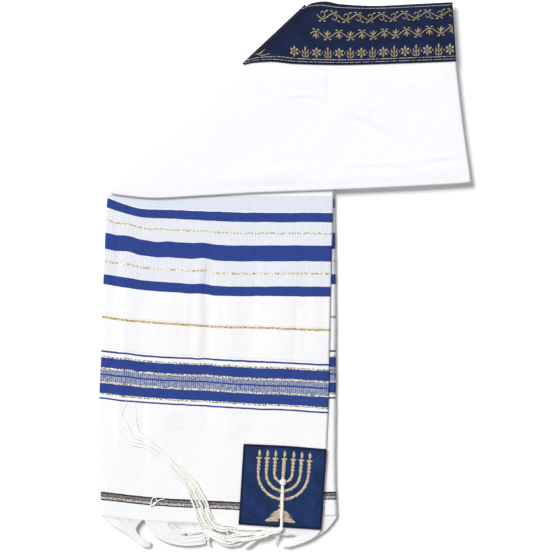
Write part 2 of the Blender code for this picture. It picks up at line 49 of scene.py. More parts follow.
print("nodes", sorted(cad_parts))

# %% [markdown]
# Every table below is in millimetres, as a maker would measure the laid shawl. Two small helpers
# read a table: `smooth` runs a soft curve through its rows, so that no stripe or edge shows a
# kink, and `hump` is the rounded bump that all creases are made of.

# %% Reading tables
def smooth(table, at):
    """The columns of a table at a place in its first column, on a soft curve."""
    if at <= table[0][0]:
        return table[0][1:]
    if at >= table[-1][0]:
        return table[-1][1:]
    k = 0
    while table[k + 1][0] < at:
        k += 1
    rows = (table[max(k - 1, 0)], table[k], table[k + 1], table[min(k + 2, len(table) - 1)])
    span = rows[2][0] - rows[1][0]
    t = (at - rows[1][0]) / span
    result = []
    for c in range(1, len(table[0])):
        here, there = rows[1][c], rows[2][c]
        steep = (there - here) / span
        slopes = []
        for a, b in ((rows[0], rows[2]), (rows[1], rows[3])):
            slope = (b[c] - a[c]) / (b[0] - a[0])
            slopes.append(max(-abs(3 * steep), min(abs(3 * steep), slope)))
        result.append((2 * t ** 3 - 3 * t * t + 1) * here + (t ** 3 - 2 * t * t + t) * span * slopes[0]
                      + (3 * t * t - 2 * t ** 3) * there + (t ** 3 - t * t) * span * slopes[1])
    return tuple(result)


def soft_step(share):
    share = min(max(share, 0.0), 1.0)
    return share * share * (3 - 2 * share)


def hump(at, middle, half_width):
    reach = abs(at - middle) / half_width
    return 0.0 if reach >= 1 else 0.5 + 0.5 * math.cos(math.pi * reach)


def ripple(x, y, size, seed):
    """Uneven soft noise from -1 to 1, the same each run."""
    return noise.noise(Vector((x / size, y / size, seed)))


print("half way from 0 to 10 a soft curve is at", smooth(((0.0, 0.0), (1.0, 10.0)), 0.5)[0])

# %% [markdown]
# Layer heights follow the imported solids: two hidden layers on the surface, the lower stretch as
# a folded pair on them, and the upper stretch over that. The cloth of the dressed shawl is a
# little thinner than its solid wall.

# %% Layer heights
GAP = 0.3
FOLD_LOW = 1.35
FOLD_HIGH = 1.8
LOW_BACK = 2.9
LOW_TOP = LOW_BACK + 2 * FOLD_LOW
HIGH_BOTTOM = LOW_TOP + GAP
HIGH_TOP = HIGH_BOTTOM + 2 * FOLD_HIGH
CLOTH_THICK = 0.95
print("heights", LOW_BACK, LOW_TOP, HIGH_BOTTOM, HIGH_TOP)

# %% [markdown]
# The photograph looks straight down, so the camera hangs over the shawl with a long lens, which
# keeps the edges from leaning. One pixel of the picture is 1.3 mm on the shawl. The script could
# frame by eye, but working the distance out of the lens keeps the outline where it belongs.

# %% Camera
PICTURE = 560
PIXEL = 1.3
VIEW_MIDDLE = (-7.5, -5.9)
FOCUS_LEVEL = 6.0
camera_data = bpy.data.cameras.new("camera")
camera_data.lens = 120.0
camera_data.sensor_width = 36.0
camera_data.clip_end = 20.0
camera = bpy.data.objects.new("camera", camera_data)
bpy.context.collection.objects.link(camera)
camera_height = PICTURE * PIXEL * MM * camera_data.lens / camera_data.sensor_width
camera.location = (VIEW_MIDDLE[0] * MM, VIEW_MIDDLE[1] * MM, camera_height + FOCUS_LEVEL * MM)
bpy.context.scene.camera = camera
print("camera height in metres", round(camera_height, 3))

# %% [markdown]
# The light comes from the upper left, as the narrow shadow along the right and lower edges
# shows. A sun with a wide disc gives that short soft shadow. A lamp close by could do it too,
# but its light would fade across the cloth. A bright pale world fills in the rest, so that
# white cloth stays white.

# %% Light
SUN_DISC = 26.0
sun_data = bpy.data.lights.new("key", "SUN")
sun_data.energy = 3.4
sun_data.angle = math.radians(SUN_DISC)
sun = bpy.data.objects.new("key", sun_data)
sun.rotation_euler = Vector((0.80, -0.85, -1.0)).to_track_quat("-Z", "Y").to_euler()
bpy.context.collection.objects.link(sun)

world = bpy.data.worlds.new("world")
world.use_nodes = True
sky = world.node_tree.nodes["Background"]
sky.inputs["Color"].default_value = (1.0, 1.0, 1.0, 1.0)
sky.inputs["Strength"].default_value = 0.375
bpy.context.scene.world = world
bpy.context.scene.view_settings.view_transform = "Standard"
print("sun disc in degrees", SUN_DISC)

# %% [markdown]
# A finish on the real shawl is a yarn and the way it is woven. In Blender it is a material, a
# net of nodes that ends in the Principled shader. The nodes could be laid out by hand in the
# editor. Small helpers do it here, because each line then says what its node is for: `feed`
# links or sets a socket, and the others add one node each.

# %% Node helpers
def new_finish(name, roughness, sheen=0.0, gloss=0.3):
    """A new material, its node tree and its Principled shader."""
    finish = bpy.data.materials.new(name)
    finish.use_nodes = True
    shader = finish.node_tree.nodes["Principled BSDF"]
    shader.inputs["Roughness"].default_value = roughness
    shader.inputs["Sheen Weight"].default_value = sheen
    shader.inputs["Specular IOR Level"].default_value = gloss
    return finish, finish.node_tree, shader


def feed(tree, socket, value):
    """Link a socket to another node's output, or set it to a number or a colour."""
    if isinstance(value, bpy.types.NodeSocket):
        tree.links.new(value, socket)
    elif isinstance(value, tuple):
        socket.default_value = value + (1.0,)
    else:
        socket.default_value = value


print("materials before the first finish", len(bpy.data.materials))

# %% [markdown]
# Each of the next helpers adds one kind of node and gives back its output, so that a finish can
# be written like a sum. The cloth has its own map, in metres along and across its threads.
# World places would be simpler, but stripes laid by them would not follow a moved fold.

# %% Single nodes
def add_math(tree, kind, *values):
    node = tree.nodes.new("ShaderNodeMath")
    node.operation = kind
    for socket, value in zip(node.inputs, values):
        feed(tree, socket, value)
    return node.outputs[0]


def mix_colour(tree, share, low, high):
    node = tree.nodes.new("ShaderNodeMix")
    node.data_type = "RGBA"
    for k, value in ((0, share), (6, low), (7, high)):
        feed(tree, node.inputs[k], value)
    return node.outputs[2]


def map_range(tree, value, low, high, start=0.0, end=1.0):
    """A number that runs from start to end while the value runs from low to high."""
    node = tree.nodes.new("ShaderNodeMapRange")
    for k, fed in enumerate((value, low, high, start, end)):
        feed(tree, node.inputs[k], fed)
    return node.outputs[0]


def noise_value(tree, place, scale, detail=2.0, rough=0.5):
    node = tree.nodes.new("ShaderNodeTexNoise")
    for name, value in (("Vector", place), ("Scale", scale), ("Detail", detail), ("Roughness", rough)):
        feed(tree, node.inputs[name], value)
    return node.outputs["Fac"]


def uv_parts(tree):
    """The cloth's own map: across and along its threads, in metres."""
    node = tree.nodes.new("ShaderNodeUVMap")
    node.uv_map = "cloth"
    parts = tree.nodes.new("ShaderNodeSeparateXYZ")
    tree.links.new(node.outputs["UV"], parts.inputs[0])
    return node.outputs["UV"], parts.outputs[0], parts.outputs[1]


def bump(tree, shader, height, distance, strength):
    node = tree.nodes.new("ShaderNodeBump")
    node.inputs["Distance"].default_value = distance
    node.inputs["Strength"].default_value = strength
    tree.links.new(height, node.inputs["Height"])
    tree.links.new(node.outputs["Normal"], shader.inputs["Normal"])


print("helpers", [helper.__name__ for helper in (add_math, mix_colour, map_range, noise_value, bump)])

# %% [markdown]
# The shawl lies on a plain pale surface, which only catches its shadow. One large flat square is enough
# for that.

# %% Floor
floor_finish, _, floor_shader = new_finish("pale_floor", 0.9, gloss=0.1)
floor_shader.inputs["Base Color"].default_value = (0.97, 0.97, 0.97, 1)
floor_bm = bmesh.new()
bmesh.ops.create_grid(floor_bm, x_segments=1, y_segments=1, size=4.0)
floor_mesh = bpy.data.meshes.new("floor")
floor_bm.to_mesh(floor_mesh)
floor_bm.free()
floor = bpy.data.objects.new("floor", floor_mesh)
bpy.context.collection.objects.link(floor)
floor_mesh.materials.append(floor_finish)
print("floor", len(floor_mesh.polygons), "face")

# %% [markdown]
# White cloth, satin and pile are all woven, so they share one weave. A node group holds it once,
# with named inputs, and each finish places it with its own thread count. The group could be
# copied into each material, but then a change to the weave would have to be made many times.
# It reads the cloth's own UV map, in metres along the threads, so the weave follows every fold.

# %% Weave group
def new_group(name, inputs, outputs):
    """An empty node group with named sockets, its inner inputs and outputs. Place is a vector."""
    group = bpy.data.node_groups.new(name, "ShaderNodeTree")
    for socket in inputs:
        kind = "NodeSocketVector" if socket == "Place" else "NodeSocketFloat"
        group.interface.new_socket(name=socket, in_out="INPUT", socket_type=kind)
    for socket in outputs:
        group.interface.new_socket(name=socket, in_out="OUTPUT", socket_type="NodeSocketFloat")
    inside = group.nodes.new("NodeGroupInput")
    outside = group.nodes.new("NodeGroupOutput")
    return group, inside.outputs, outside.inputs


def place_group(tree, group, *values):
    """Put a group in a material, feed its inputs in their order, and give its outputs."""
    node = tree.nodes.new("ShaderNodeGroup")
    node.node_tree = group
    for socket, value in zip(node.inputs, values):
        feed(tree, socket, value)
    return list(node.outputs)


def make_thread_grid():
    group, given, out = new_group("thread_grid", ("Across", "Along", "Threads"), ("Height", "Slub"))
    turn = add_math(group, "MULTIPLY", given["Threads"], 2 * math.pi)
    warp = add_math(group, "SINE", add_math(group, "MULTIPLY", given["Across"], turn))
    weft = add_math(group, "SINE", add_math(group, "MULTIPLY", given["Along"], turn))
    cross = add_math(group, "MULTIPLY", warp, weft)
    feed(group, out["Height"], add_math(group, "MULTIPLY_ADD", cross, 0.5, 0.5))
    spread = group.nodes.new("ShaderNodeCombineXYZ")
    feed(group, spread.inputs[0], add_math(group, "MULTIPLY", given["Across"], 0.12))
    feed(group, spread.inputs[1], given["Along"])
    feed(group, out["Slub"], noise_value(group, spread.outputs[0], 900.0, 1.0))
    return group


THREAD_GRID = make_thread_grid()
print("weave group", [socket.name for socket in THREAD_GRID.interface.items_tree])

# %% [markdown]
# Two more effects are shared. Handled white cloth is never one even white: `mottle` is a soft cloud of
# grey. Metal thread glints in bright and dull specks as it turns, and these glints are painted: `flecks`
# is a fine noise cut off at one level, so that it is either on or off. A painted picture could hold both,
# but it would blur close up, and a noise stays sharp at any distance.

# %% Mottle and fleck groups
def make_mottle():
    group, given, out = new_group("mottle", ("Place",), ("Share",))
    cloud = noise_value(group, given["Place"], 160.0, 4.0, 0.65)
    feed(group, out["Share"], add_math(group, "MULTIPLY_ADD", cloud, 3.0, -1.0))
    return group


def make_flecks():
    group, given, out = new_group("flecks", ("Place", "Scale", "Cut"), ("Mask",))
    speck = noise_value(group, given["Place"], given["Scale"], 0.0)
    feed(group, out["Mask"], add_math(group, "GREATER_THAN", speck, given["Cut"]))
    return group


MOTTLE = make_mottle()
FLECKS = make_flecks()
print("shared groups", [group.name for group in bpy.data.node_groups])

# %% [markdown]
# The stripes are woven, so they follow the weft: the stripe table gives their places along the
# lengthwise fold, from the first blue band down to the hem. Each band is one Compare node, which
# is 1 within half a width of the band's middle, and the bands of one yarn are joined to a mask.
# A colour ramp would be shorter, but it holds too few steps for lines this thin.

# %% Stripe table
STRIPE_TOP = 100.5
BLUE_BANDS = ((0.0, 12.4), (45.0, 66.0), (98.8, 111.8), (197.5, 199.9), (206.6, 219.6),
              (227.8, 229.8), (239.9, 253.0), (258.7, 260.9))
GOLD_DASHES = ((27.4, 29.8), (80.8, 83.2))
GOLD_LINES = ((153.0, 156.0),)
GLITTER_EDGES = ((204.4, 206.6), (219.6, 221.8), (237.8, 239.9), (253.0, 255.2))
PALE_BANDS = ((221.8, 237.8),)
TRIM_DARK = ((381.6, 383.6), (386.5, 387.3), (390.7, 392.4))
TRIM_COPPER = ((383.6, 386.5),)
TRIM_GLITTER = ((387.3, 390.7),)
GREY_BANDS = ((-22.0, -1.2), (12.4, 27.4), (29.8, 45.3), (65.3, 80.8), (83.2, 99.2))
FAINT_LINES = ((150.6, 151.8), (193.8, 195.2))


def stripe_mask(tree, down, bands):
    """1 on the bands and 0 off them, from how far down the cloth a point lies, in metres."""
    mask = None
    for low, high in bands:
        band = add_math(tree, "COMPARE", down, 0.5 * (low + high) * MM, 0.5 * (high - low) * MM)
        mask = band if mask is None else add_math(tree, "MAXIMUM", mask, band)
    return mask


print("stripes", len(BLUE_BANDS), "blue,", len(GOLD_DASHES) + len(GOLD_LINES), "gold")

# %% [markdown]
# The ground of the striped cloth is white wool. Between the upper bands it is woven more open,
# so fine grey ribs run down it, and one pale band lets the blue warp show between white weft as
# upright hatching. Both are sine waves across the cloth, held to their bands by a mask. They
# could be modelled thread by thread, but lines half a millimetre wide don't need a shape.

# %% Ground of the striped cloth
WHITE = (0.955, 0.955, 0.97)
WARM_WHITE = (0.955, 0.95, 0.965)
RIB_PITCH = 3.4
HATCH_PITCH = 2.6


def fine_wave(tree, across, pitch, strength, middle):
    wave = add_math(tree, "SINE", add_math(tree, "MULTIPLY", across, 2 * math.pi / (pitch * MM)))
    return add_math(tree, "MULTIPLY_ADD", wave, strength, middle)


def white_ground(tree, uv, across, along, down, slub):
    ground = mix_colour(tree, map_range(tree, along, 0.10, 0.30), WHITE, WARM_WHITE)
    mottle, = place_group(tree, MOTTLE, uv)
    ground = mix_colour(tree, add_math(tree, "MULTIPLY", mottle, 0.14), ground, (0.70, 0.72, 0.78))
    rib = fine_wave(tree, across, RIB_PITCH, 0.18, 0.43)
    rib = add_math(tree, "MULTIPLY", rib, add_math(tree, "MULTIPLY_ADD", slub, 1.1, 0.4))
    grey = add_math(tree, "MULTIPLY", stripe_mask(tree, down, GREY_BANDS), rib)
    ground = mix_colour(tree, grey, ground, (0.60, 0.66, 0.80))
    for bands, tint in ((GREY_BANDS[:1], (0.62, 0.68, 0.84)), (FAINT_LINES, (0.60, 0.63, 0.72))):
        share = add_math(tree, "MULTIPLY", stripe_mask(tree, down, bands), 0.3)
        ground = mix_colour(tree, share, ground, tint)
    hatch = fine_wave(tree, across, HATCH_PITCH, 0.16, 0.5)
    streak = add_math(tree, "MULTIPLY_ADD", noise_value(tree, uv, 330.0, 1.0), 0.9, -0.15)
    hatch = add_math(tree, "ADD", hatch, streak)
    pale = add_math(tree, "MULTIPLY", stripe_mask(tree, down, PALE_BANDS), hatch)
    return mix_colour(tree, pale, ground, (0.075, 0.12, 0.30))


print("ribs every", RIB_PITCH, "mm, hatching every", HATCH_PITCH, "mm")

# %% [markdown]
# Over the ground lie the metal threads: gold lines, glitter along the edges of the blue bands, and the
# trim near the hem. Each is metal foil wound on yarn with a dark and a light colour, and flecks switch
# between them as painted glints; the same masks will drive Metallic. One gold colour would look like
# paint.

# %% Metal threads of the striped cloth
TRIM_BLACK = (0.02, 0.018, 0.03)
# Each metal yarn is a dark and a light colour, between which flecks paint its glints.
COPPER_YARN = ((0.13, 0.095, 0.09), (0.34, 0.275, 0.25))
SILVER_YARN = ((0.23, 0.22, 0.20), (0.66, 0.65, 0.61))
GOLD_YARN = ((0.38, 0.27, 0.10), (0.80, 0.66, 0.36))
FOIL_YARN = ((0.42, 0.34, 0.20), (1.0, 0.98, 0.88))


def metal_threads(tree, uv, down, ground):
    """The cloth's colour with its metal threads, and a mask of all the metal."""
    # Painted glints: flecks switch each metal yarn between its dark and light colour.
    painted_glint, = place_group(tree, FLECKS, uv, 520.0, 0.5)
    gap, = place_group(tree, FLECKS, uv, 420.0, 0.44)
    gold = add_math(tree, "MULTIPLY", stripe_mask(tree, down, GOLD_DASHES), gap)
    gold = add_math(tree, "MAXIMUM", gold, stripe_mask(tree, down, GOLD_LINES))
    ground = mix_colour(tree, gold, ground, mix_colour(tree, painted_glint, *GOLD_YARN))
    stray = add_math(tree, "MULTIPLY_ADD", noise_value(tree, uv, 700.0, 0.0), 0.0016, -0.0008)
    edges = stripe_mask(tree, add_math(tree, "ADD", down, stray), GLITTER_EDGES)
    # Dark flecks break up the glitter along the band edges.
    dark_flecks, = place_group(tree, FLECKS, uv, 430.0, 0.62)
    foil = mix_colour(tree, dark_flecks, mix_colour(tree, painted_glint, *FOIL_YARN), (0.05, 0.05, 0.07))
    ground = mix_colour(tree, edges, ground, foil)
    ground = mix_colour(tree, stripe_mask(tree, down, TRIM_DARK), ground, TRIM_BLACK)
    copper = stripe_mask(tree, down, TRIM_COPPER)
    ground = mix_colour(tree, copper, ground, mix_colour(tree, painted_glint, *COPPER_YARN))
    glitter = stripe_mask(tree, down, TRIM_GLITTER)
    ground = mix_colour(tree, glitter, ground, mix_colour(tree, painted_glint, *SILVER_YARN))
    metal = add_math(tree, "MAXIMUM", add_math(tree, "MAXIMUM", gold, glitter),
                     add_math(tree, "MAXIMUM", copper, edges))
    return ground, metal


print("glitter edges", len(GLITTER_EDGES))

# %% [markdown]
# The striped cloth puts the parts together: the ground, the blue bands over it and the metal
# threads on top. The stripes wander by less than a millimetre, as woven ones do. The pile and
# the upper stretch are plain, so they get a shorter finish with the same weave.

# %% Cloth finishes
BLUE = (0.019, 0.048, 0.265)
CLOTH_THREADS = 900.0


def striped_cloth():
    finish, tree, shader = new_finish("striped_cloth", 0.85, 0.08)
    uv, across, along = uv_parts(tree)
    wander = add_math(tree, "MULTIPLY_ADD", noise_value(tree, uv, 60.0, 2.0), 0.0016, -0.0008)
    down = add_math(tree, "ADD", along, wander)
    height, slub = place_group(tree, THREAD_GRID, across, along, CLOTH_THREADS)
    colour = white_ground(tree, uv, across, along, down, slub)
    blue_yarn = mix_colour(tree, slub, (BLUE[0] * 0.6, BLUE[1] * 0.65, BLUE[2] * 0.7),
                           (BLUE[0] * 1.6, BLUE[1] * 1.5, BLUE[2] * 1.3))
    colour = mix_colour(tree, stripe_mask(tree, down, BLUE_BANDS), colour, blue_yarn)
    colour, metal = metal_threads(tree, uv, down, colour)
    feed(tree, shader.inputs["Base Color"], colour)
    feed(tree, shader.inputs["Metallic"], add_math(tree, "MULTIPLY", metal, 0.3))
    feed(tree, shader.inputs["Roughness"], add_math(tree, "MULTIPLY_ADD", metal, -0.4, 0.86))
    relief = add_math(tree, "ADD", height, add_math(tree, "MULTIPLY", slub, 0.8))
    bump(tree, shader, relief, 0.0004, 0.5)
    return finish


def plain_cloth(name, colour, shade):
    finish, tree, shader = new_finish(name, 0.86, 0.12)
    uv, across, along = uv_parts(tree)
    height, slub = place_group(tree, THREAD_GRID, across, along, CLOTH_THREADS)
    mottle, = place_group(tree, MOTTLE, uv)
    tint = mix_colour(tree, add_math(tree, "MULTIPLY", mottle, shade), colour, (0.72, 0.74, 0.82))
    feed(tree, shader.inputs["Base Color"], tint)
    bump(tree, shader, add_math(tree, "ADD", height, slub), 0.0003, 0.3)
    return finish


STRIPED = striped_cloth()
UPPER_WHITE = plain_cloth("upper_white", (0.93, 0.92, 0.955), 0.14)
PILE_WHITE = plain_cloth("pile_white", (0.90, 0.90, 0.93), 0.12)
print("nodes in the striped cloth", len(STRIPED.node_tree.nodes))

# %% [markdown]
# Satin is a smooth navy weave whose long floats run one way. It is glossier than the cloth, and its slubs
# change both the colour and the shine. A soft cloud of lighter colour over it is painted sheen. Pressed
# over a fold the satin looks dark, because its floats turn from the light there; the distance from the
# fold's line, a dot product on Object coordinates, makes that painted shade.

# %% Satin helpers
FOLD_REACH = 20.0


def tinted(colour, share):
    return tuple(c * share for c in colour)


def satin_colour(tree, uv, slub, colour):
    cloud = noise_value(tree, uv, 38.0, 4.0, 0.6)
    # Painted sheen: soft lighter patches over the satin.
    painted_sheen = add_math(tree, "MULTIPLY", map_range(tree, cloud, 0.42, 0.72), 0.75)
    woven = mix_colour(tree, slub, tinted(colour, 0.55), tinted(colour, 1.35))
    return mix_colour(tree, painted_sheen, woven, tinted(colour, 2.1))


def fold_shade(tree, tint, colour, fold):
    """Paint shade on the satin beside a fold, given as its direction x, y and its distance."""
    place = tree.nodes.new("ShaderNodeTexCoord")
    off = tree.nodes.new("ShaderNodeVectorMath")
    off.operation = "DOT_PRODUCT"
    tree.links.new(place.outputs["Object"], off.inputs[0])
    off.inputs[1].default_value = (fold[0], fold[1], 0.0)
    # Painted shade, darkest at the fold's line and fading over FOLD_REACH.
    painted_fold_shade = map_range(tree, off.outputs["Value"], fold[2], fold[2] + FOLD_REACH * MM, 0.75, 0.0)
    return mix_colour(tree, painted_fold_shade, tint, tinted(colour, 0.25))


print("satin darkens within", FOLD_REACH, "mm of a fold")

# %% [markdown]
# The neckband also has thin silver lines woven along its two long edges, on darker satin. They
# are masks on the map that runs up the band. They could be cords laid on the band, but they
# are flat, so they belong in the finish.

# %% Satin finishes
NAVY = (0.0042, 0.011, 0.045)
PATCH_BLUE = (0.009, 0.025, 0.092)
SILVER = (0.46, 0.47, 0.50)
SATIN_THREADS = 1400.0
BAND_LINES = ((2.7, 3.4), (6.1, 7.0), (72.8, 73.6))
BAND_BORDERS = (7.6, 71.4)
BAND_FOLD = (0.685, -0.729, -0.2387)


def silver_lines(tree, uv, along, tint, colour):
    """The tint with the band's dark borders and silver lines, and a mask of the lines."""
    metal = None
    for low, high in BAND_LINES:
        above = add_math(tree, "GREATER_THAN", along, low * MM)
        below = add_math(tree, "LESS_THAN", along, high * MM)
        line = add_math(tree, "MULTIPLY", above, below)
        metal = line if metal is None else add_math(tree, "MAXIMUM", metal, line)
    dark = add_math(tree, "MAXIMUM", add_math(tree, "LESS_THAN", along, BAND_BORDERS[0] * MM),
                    add_math(tree, "GREATER_THAN", along, BAND_BORDERS[1] * MM))
    tint = mix_colour(tree, add_math(tree, "MULTIPLY", dark, 0.5), tint, tinted(colour, 0.3))
    # Flecks paint glints on the silver lines, between a dark and a light silver.
    speck, = place_group(tree, FLECKS, uv, 520.0, 0.44)
    silver = mix_colour(tree, speck, tinted(SILVER, 0.25), SILVER)
    return mix_colour(tree, metal, tint, silver), metal


def satin(name, colour, is_band=False):
    finish, tree, shader = new_finish(name, 0.5, gloss=0.16)
    uv, across, along = uv_parts(tree)
    height, slub = place_group(tree, THREAD_GRID, across, along, SATIN_THREADS)
    tint = satin_colour(tree, uv, slub, colour)
    if is_band:
        tint = fold_shade(tree, tint, colour, BAND_FOLD)
        tint, metal = silver_lines(tree, uv, along, tint, colour)
        feed(tree, shader.inputs["Metallic"], add_math(tree, "MULTIPLY", metal, 0.4))
    feed(tree, shader.inputs["Base Color"], tint)
    feed(tree, shader.inputs["Roughness"], add_math(tree, "MULTIPLY_ADD", slub, 0.22, 0.40))
    bump(tree, shader, add_math(tree, "ADD", height, slub), 0.0002, 0.3)
    return finish


BAND_SATIN = satin("band_satin", NAVY, is_band=True)
PATCH_SATIN = satin("patch_satin", PATCH_BLUE)
print("silver lines on the band", len(BAND_LINES))

# %% [markdown]
# Embroidery is gold thread laid side by side, so it has fine ridges across each stroke. The map of an
# embroidered stroke runs across and along the stroke, and a wave on the second number makes the threads.
# The band and the patch share the ridges as one group, and each has its own three golds: a painted shade,
# the gold itself and a painted highlight, spread over the ridges and a fine noise.

# %% Gold thread finishes
def make_gold_ridges():
    group, given, out = new_group("gold_ridges", ("Place", "Along"), ("Ridge", "Shade"))
    ridge = add_math(group, "SINE", add_math(group, "MULTIPLY", given["Along"], 2 * math.pi / 0.0006))
    speck = noise_value(group, given["Place"], 420.0, 1.0)
    feed(group, out["Ridge"], ridge)
    feed(group, out["Shade"], add_math(group, "MULTIPLY_ADD", ridge, 0.22, speck))
    return group


GOLD_RIDGES = make_gold_ridges()


def gold_thread(name, low, middle, high):
    finish, tree, shader = new_finish(name, 0.42)
    uv, _, along = uv_parts(tree)
    ridge, shade = place_group(tree, GOLD_RIDGES, uv, along)
    # Painted shade and highlight: the ramp runs from a dark gold to a pale highlight over the ridges and
    # noise.
    ramp = tree.nodes.new("ShaderNodeValToRGB")
    ramp.color_ramp.elements[0].position = 0.25
    ramp.color_ramp.elements[0].color = low + (1,)
    ramp.color_ramp.elements[1].position = 0.74
    ramp.color_ramp.elements[1].color = high + (1,)
    ramp.color_ramp.elements.new(0.48).color = middle + (1,)
    tree.links.new(shade, ramp.inputs["Fac"])
    tree.links.new(ramp.outputs["Color"], shader.inputs["Base Color"])
    shader.inputs["Metallic"].default_value = 0.2
    bump(tree, shader, ridge, 0.0002, 0.6)
    return finish


LAMP_GOLD = gold_thread("lamp_gold", (0.22, 0.14, 0.05), (0.74, 0.60, 0.34), (1.0, 0.97, 0.84))
BAND_GOLD = gold_thread("band_gold", (0.10, 0.07, 0.03), (0.40, 0.30, 0.15), (0.88, 0.78, 0.58))
print("gold finishes", LAMP_GOLD.name, BAND_GOLD.name)

# %% [markdown]
# Yarn has loose fibres that catch the light. A very fine noise on Object coordinates stands in
# for them, and a little sheen brightens the rim of each strand. Real hair would look softer,
# but two hundred strands of it would be far too heavy. The navy edge thread is smooth, so it
# gets hardly any sheen.

# %% Yarn finishes
def make_fuzz():
    group, given, out = new_group("fuzz", ("Place",), ("Fuzz", "Tone"))
    feed(group, out["Fuzz"], noise_value(group, given["Place"], 1600.0, 2.0))
    feed(group, out["Tone"], noise_value(group, given["Place"], 70.0, 2.0))
    return group


FUZZ = make_fuzz()


def yarn_finish(name, light, dark, sheen=0.3):
    finish, tree, shader = new_finish(name, 0.9, sheen)
    place = tree.nodes.new("ShaderNodeTexCoord")
    fuzz, tone = place_group(tree, FUZZ, place.outputs["Object"])
    tint = mix_colour(tree, add_math(tree, "MULTIPLY_ADD", fuzz, 0.5, -0.05), light, dark)
    tint = mix_colour(tree, add_math(tree, "MULTIPLY", tone, 0.25), tint, dark)
    feed(tree, shader.inputs["Base Color"], tint)
    bump(tree, shader, fuzz, 0.0003, 0.5)
    return finish


FRINGE_WHITE = yarn_finish("fringe_white", (0.945, 0.945, 0.95), (0.76, 0.76, 0.78))
IVORY = yarn_finish("ivory_yarn", (0.955, 0.945, 0.89), (0.88, 0.865, 0.78))
NAVY_THREAD = yarn_finish("navy_thread", (0.006, 0.013, 0.06), (0.003, 0.006, 0.03), sheen=0.03)
print("finishes in all", len(bpy.data.materials))

# %% [markdown]
# Now the cloth itself. The lower stretch is the end of the folded shawl that hangs down the
# page: a front layer, the lengthwise fold on the left and a back layer under it. Its weft lines
# lean down to the right, steeply near the upper fold where the cloth was pulled over. Each row
# of the first table is one weft line, and the second table holds the side edges.

# %% Sizes of the lower stretch
WEFT = (
    # down, near, mid, right
    (-105.3, -5.2, -13.0, -23.4),
    (-103.7, 1.3, -2.6, -9.1),
    (-102.0, 6.5, 7.8, 5.2),
    (-100.5, 12.3, 17.9, 19.5),
    (-78.7, 9.1, 16.8, 18.2),
    (-55.2, 7.2, 15.9, 16.8),
    (-2.0, 5.9, 15.6, 16.0),
    (54.0, 4.5, 12.9, 17.2),
    (106.0, 3.9, 12.0, 18.3),
    (159.2, 3.9, 11.3, 19.5),
    (206.7, 3.6, 10.4, 19.0),
    (286.7, 3.9, 12.6, 19.8),
    (313.3, 3.9, 11.1, 19.5),
)
SIDES = (
    # y, fold, front, back
    (-333.0, -239.8, 46.4, 67.0),
    (-304.9, -240.5, 48.4, 66.4),
    (-265.9, -241.2, 50.6, 64.9),
    (-239.9, -241.8, 52.2, 64.6),
    (-213.9, -242.1, 53.3, 64.8),
    (-161.9, -242.6, 55.8, 65.0),
    (-135.9, -241.9, 56.3, 65.1),
    (-109.9, -240.4, 56.7, 65.2),
    (-57.9, -239.5, 57.6, 65.3),
    (-31.9, -238.5, 58.2, 65.1),
    (2.0, -236.9, 58.8, 64.9),
    (39.7, -235.3, 60.1, 64.4),
    (65.7, -234.2, 60.9, 63.9),
    (91.7, -232.9, 61.5, 63.4),
    (105.3, -231.4, 61.7, 63.2),
    (129.3, -230.4, 61.9, 63.0),
)
LOW_START = 105.3
HEM = -313.3
FRONT_WIDE = 290.0
BACK_WIDE = 300.0
print("lower stretch", round(LOW_START - HEM), "mm down the fold,", FRONT_WIDE, "mm across the front")

# %% [markdown]
# The cloth lies in long soft folds that were pressed into it, with two narrow troughs down the left part
# and a few shallow ones between. They are listed in the table, uneven in width, length and height, and a
# little noise breaks them up. Cloth simulation could drape it, but the shawl lies flat and its creases
# are old pressed ones, which a table places exactly.

# %% Creases of the lower stretch
LONG_FOLDS = (
    # across, half width, from y, to y, height
    (0.10, 0.085, 90.0, -300.0, 0.9),
    (0.045, 0.03, 60.0, -240.0, -0.6),
    (0.28, 0.17, 70.0, -290.0, 1.1),
    (0.425, 0.05, 95.0, -150.0, 0.8),
    (0.46, 0.035, 90.0, -200.0, -0.8),
    (0.56, 0.10, 80.0, -260.0, 1.0),
    (0.78, 0.16, 90.0, -190.0, 1.2),
    (0.93, 0.05, 60.0, -120.0, 0.5),
)
FINE_CREASES = (
    # across, half width, from y, to y, height
    (0.040, 0.014, 98.0, -40.0, -0.9),
    (0.062, 0.012, 60.0, -170.0, -0.6),
    (0.085, 0.014, -20.0, -260.0, 0.45),
    (0.20, 0.018, -30.0, -290.0, -0.4),
    (0.36, 0.016, 60.0, -110.0, 0.35),
    (0.455, 0.014, 60.0, -40.0, -0.6),
    (0.465, 0.014, -60.0, -190.0, -0.6),
    (0.50, 0.013, 30.0, -180.0, 0.35),
    (0.655, 0.016, 95.0, -60.0, -0.45),
    (0.84, 0.018, 20.0, -170.0, -0.4),
)
WEFT_JOGS = (
    # across, half width, down, half length, shift
    (0.10, 0.065, 55.0, 75.0, -2.6),
    (0.22, 0.06, 52.0, 40.0, 1.4),
    (0.435, 0.06, 70.0, 70.0, -2.3),
    (0.80, 0.10, 30.0, 60.0, 0.6),
    (0.11, 0.05, 215.0, 45.0, -1.2),
    (0.46, 0.05, 215.0, 50.0, -0.7),
    (0.70, 0.09, 230.0, 60.0, 0.7),
)
print("folds and creases", len(LONG_FOLDS) + len(FINE_CREASES))

# %% [markdown]
# A weft line is straight on the loom. On the laid shawl it drops a little towards the right and
# has small jogs where it crosses a fold, which shows well in the stripes. `weft_drop` gives that
# drop, `swell` the height of all folds, and `front_point` puts both together. A Displace
# modifier could raise the folds, but it can't let the stripes drop along the cloth.

# %% Form of the lower stretch
# The places across the cloth that set how far a weft line drops
NEAR_FOLD, LEFT_PART, MIDDLE, RIGHT_PART = 0.12, 0.3, 0.53, 0.76


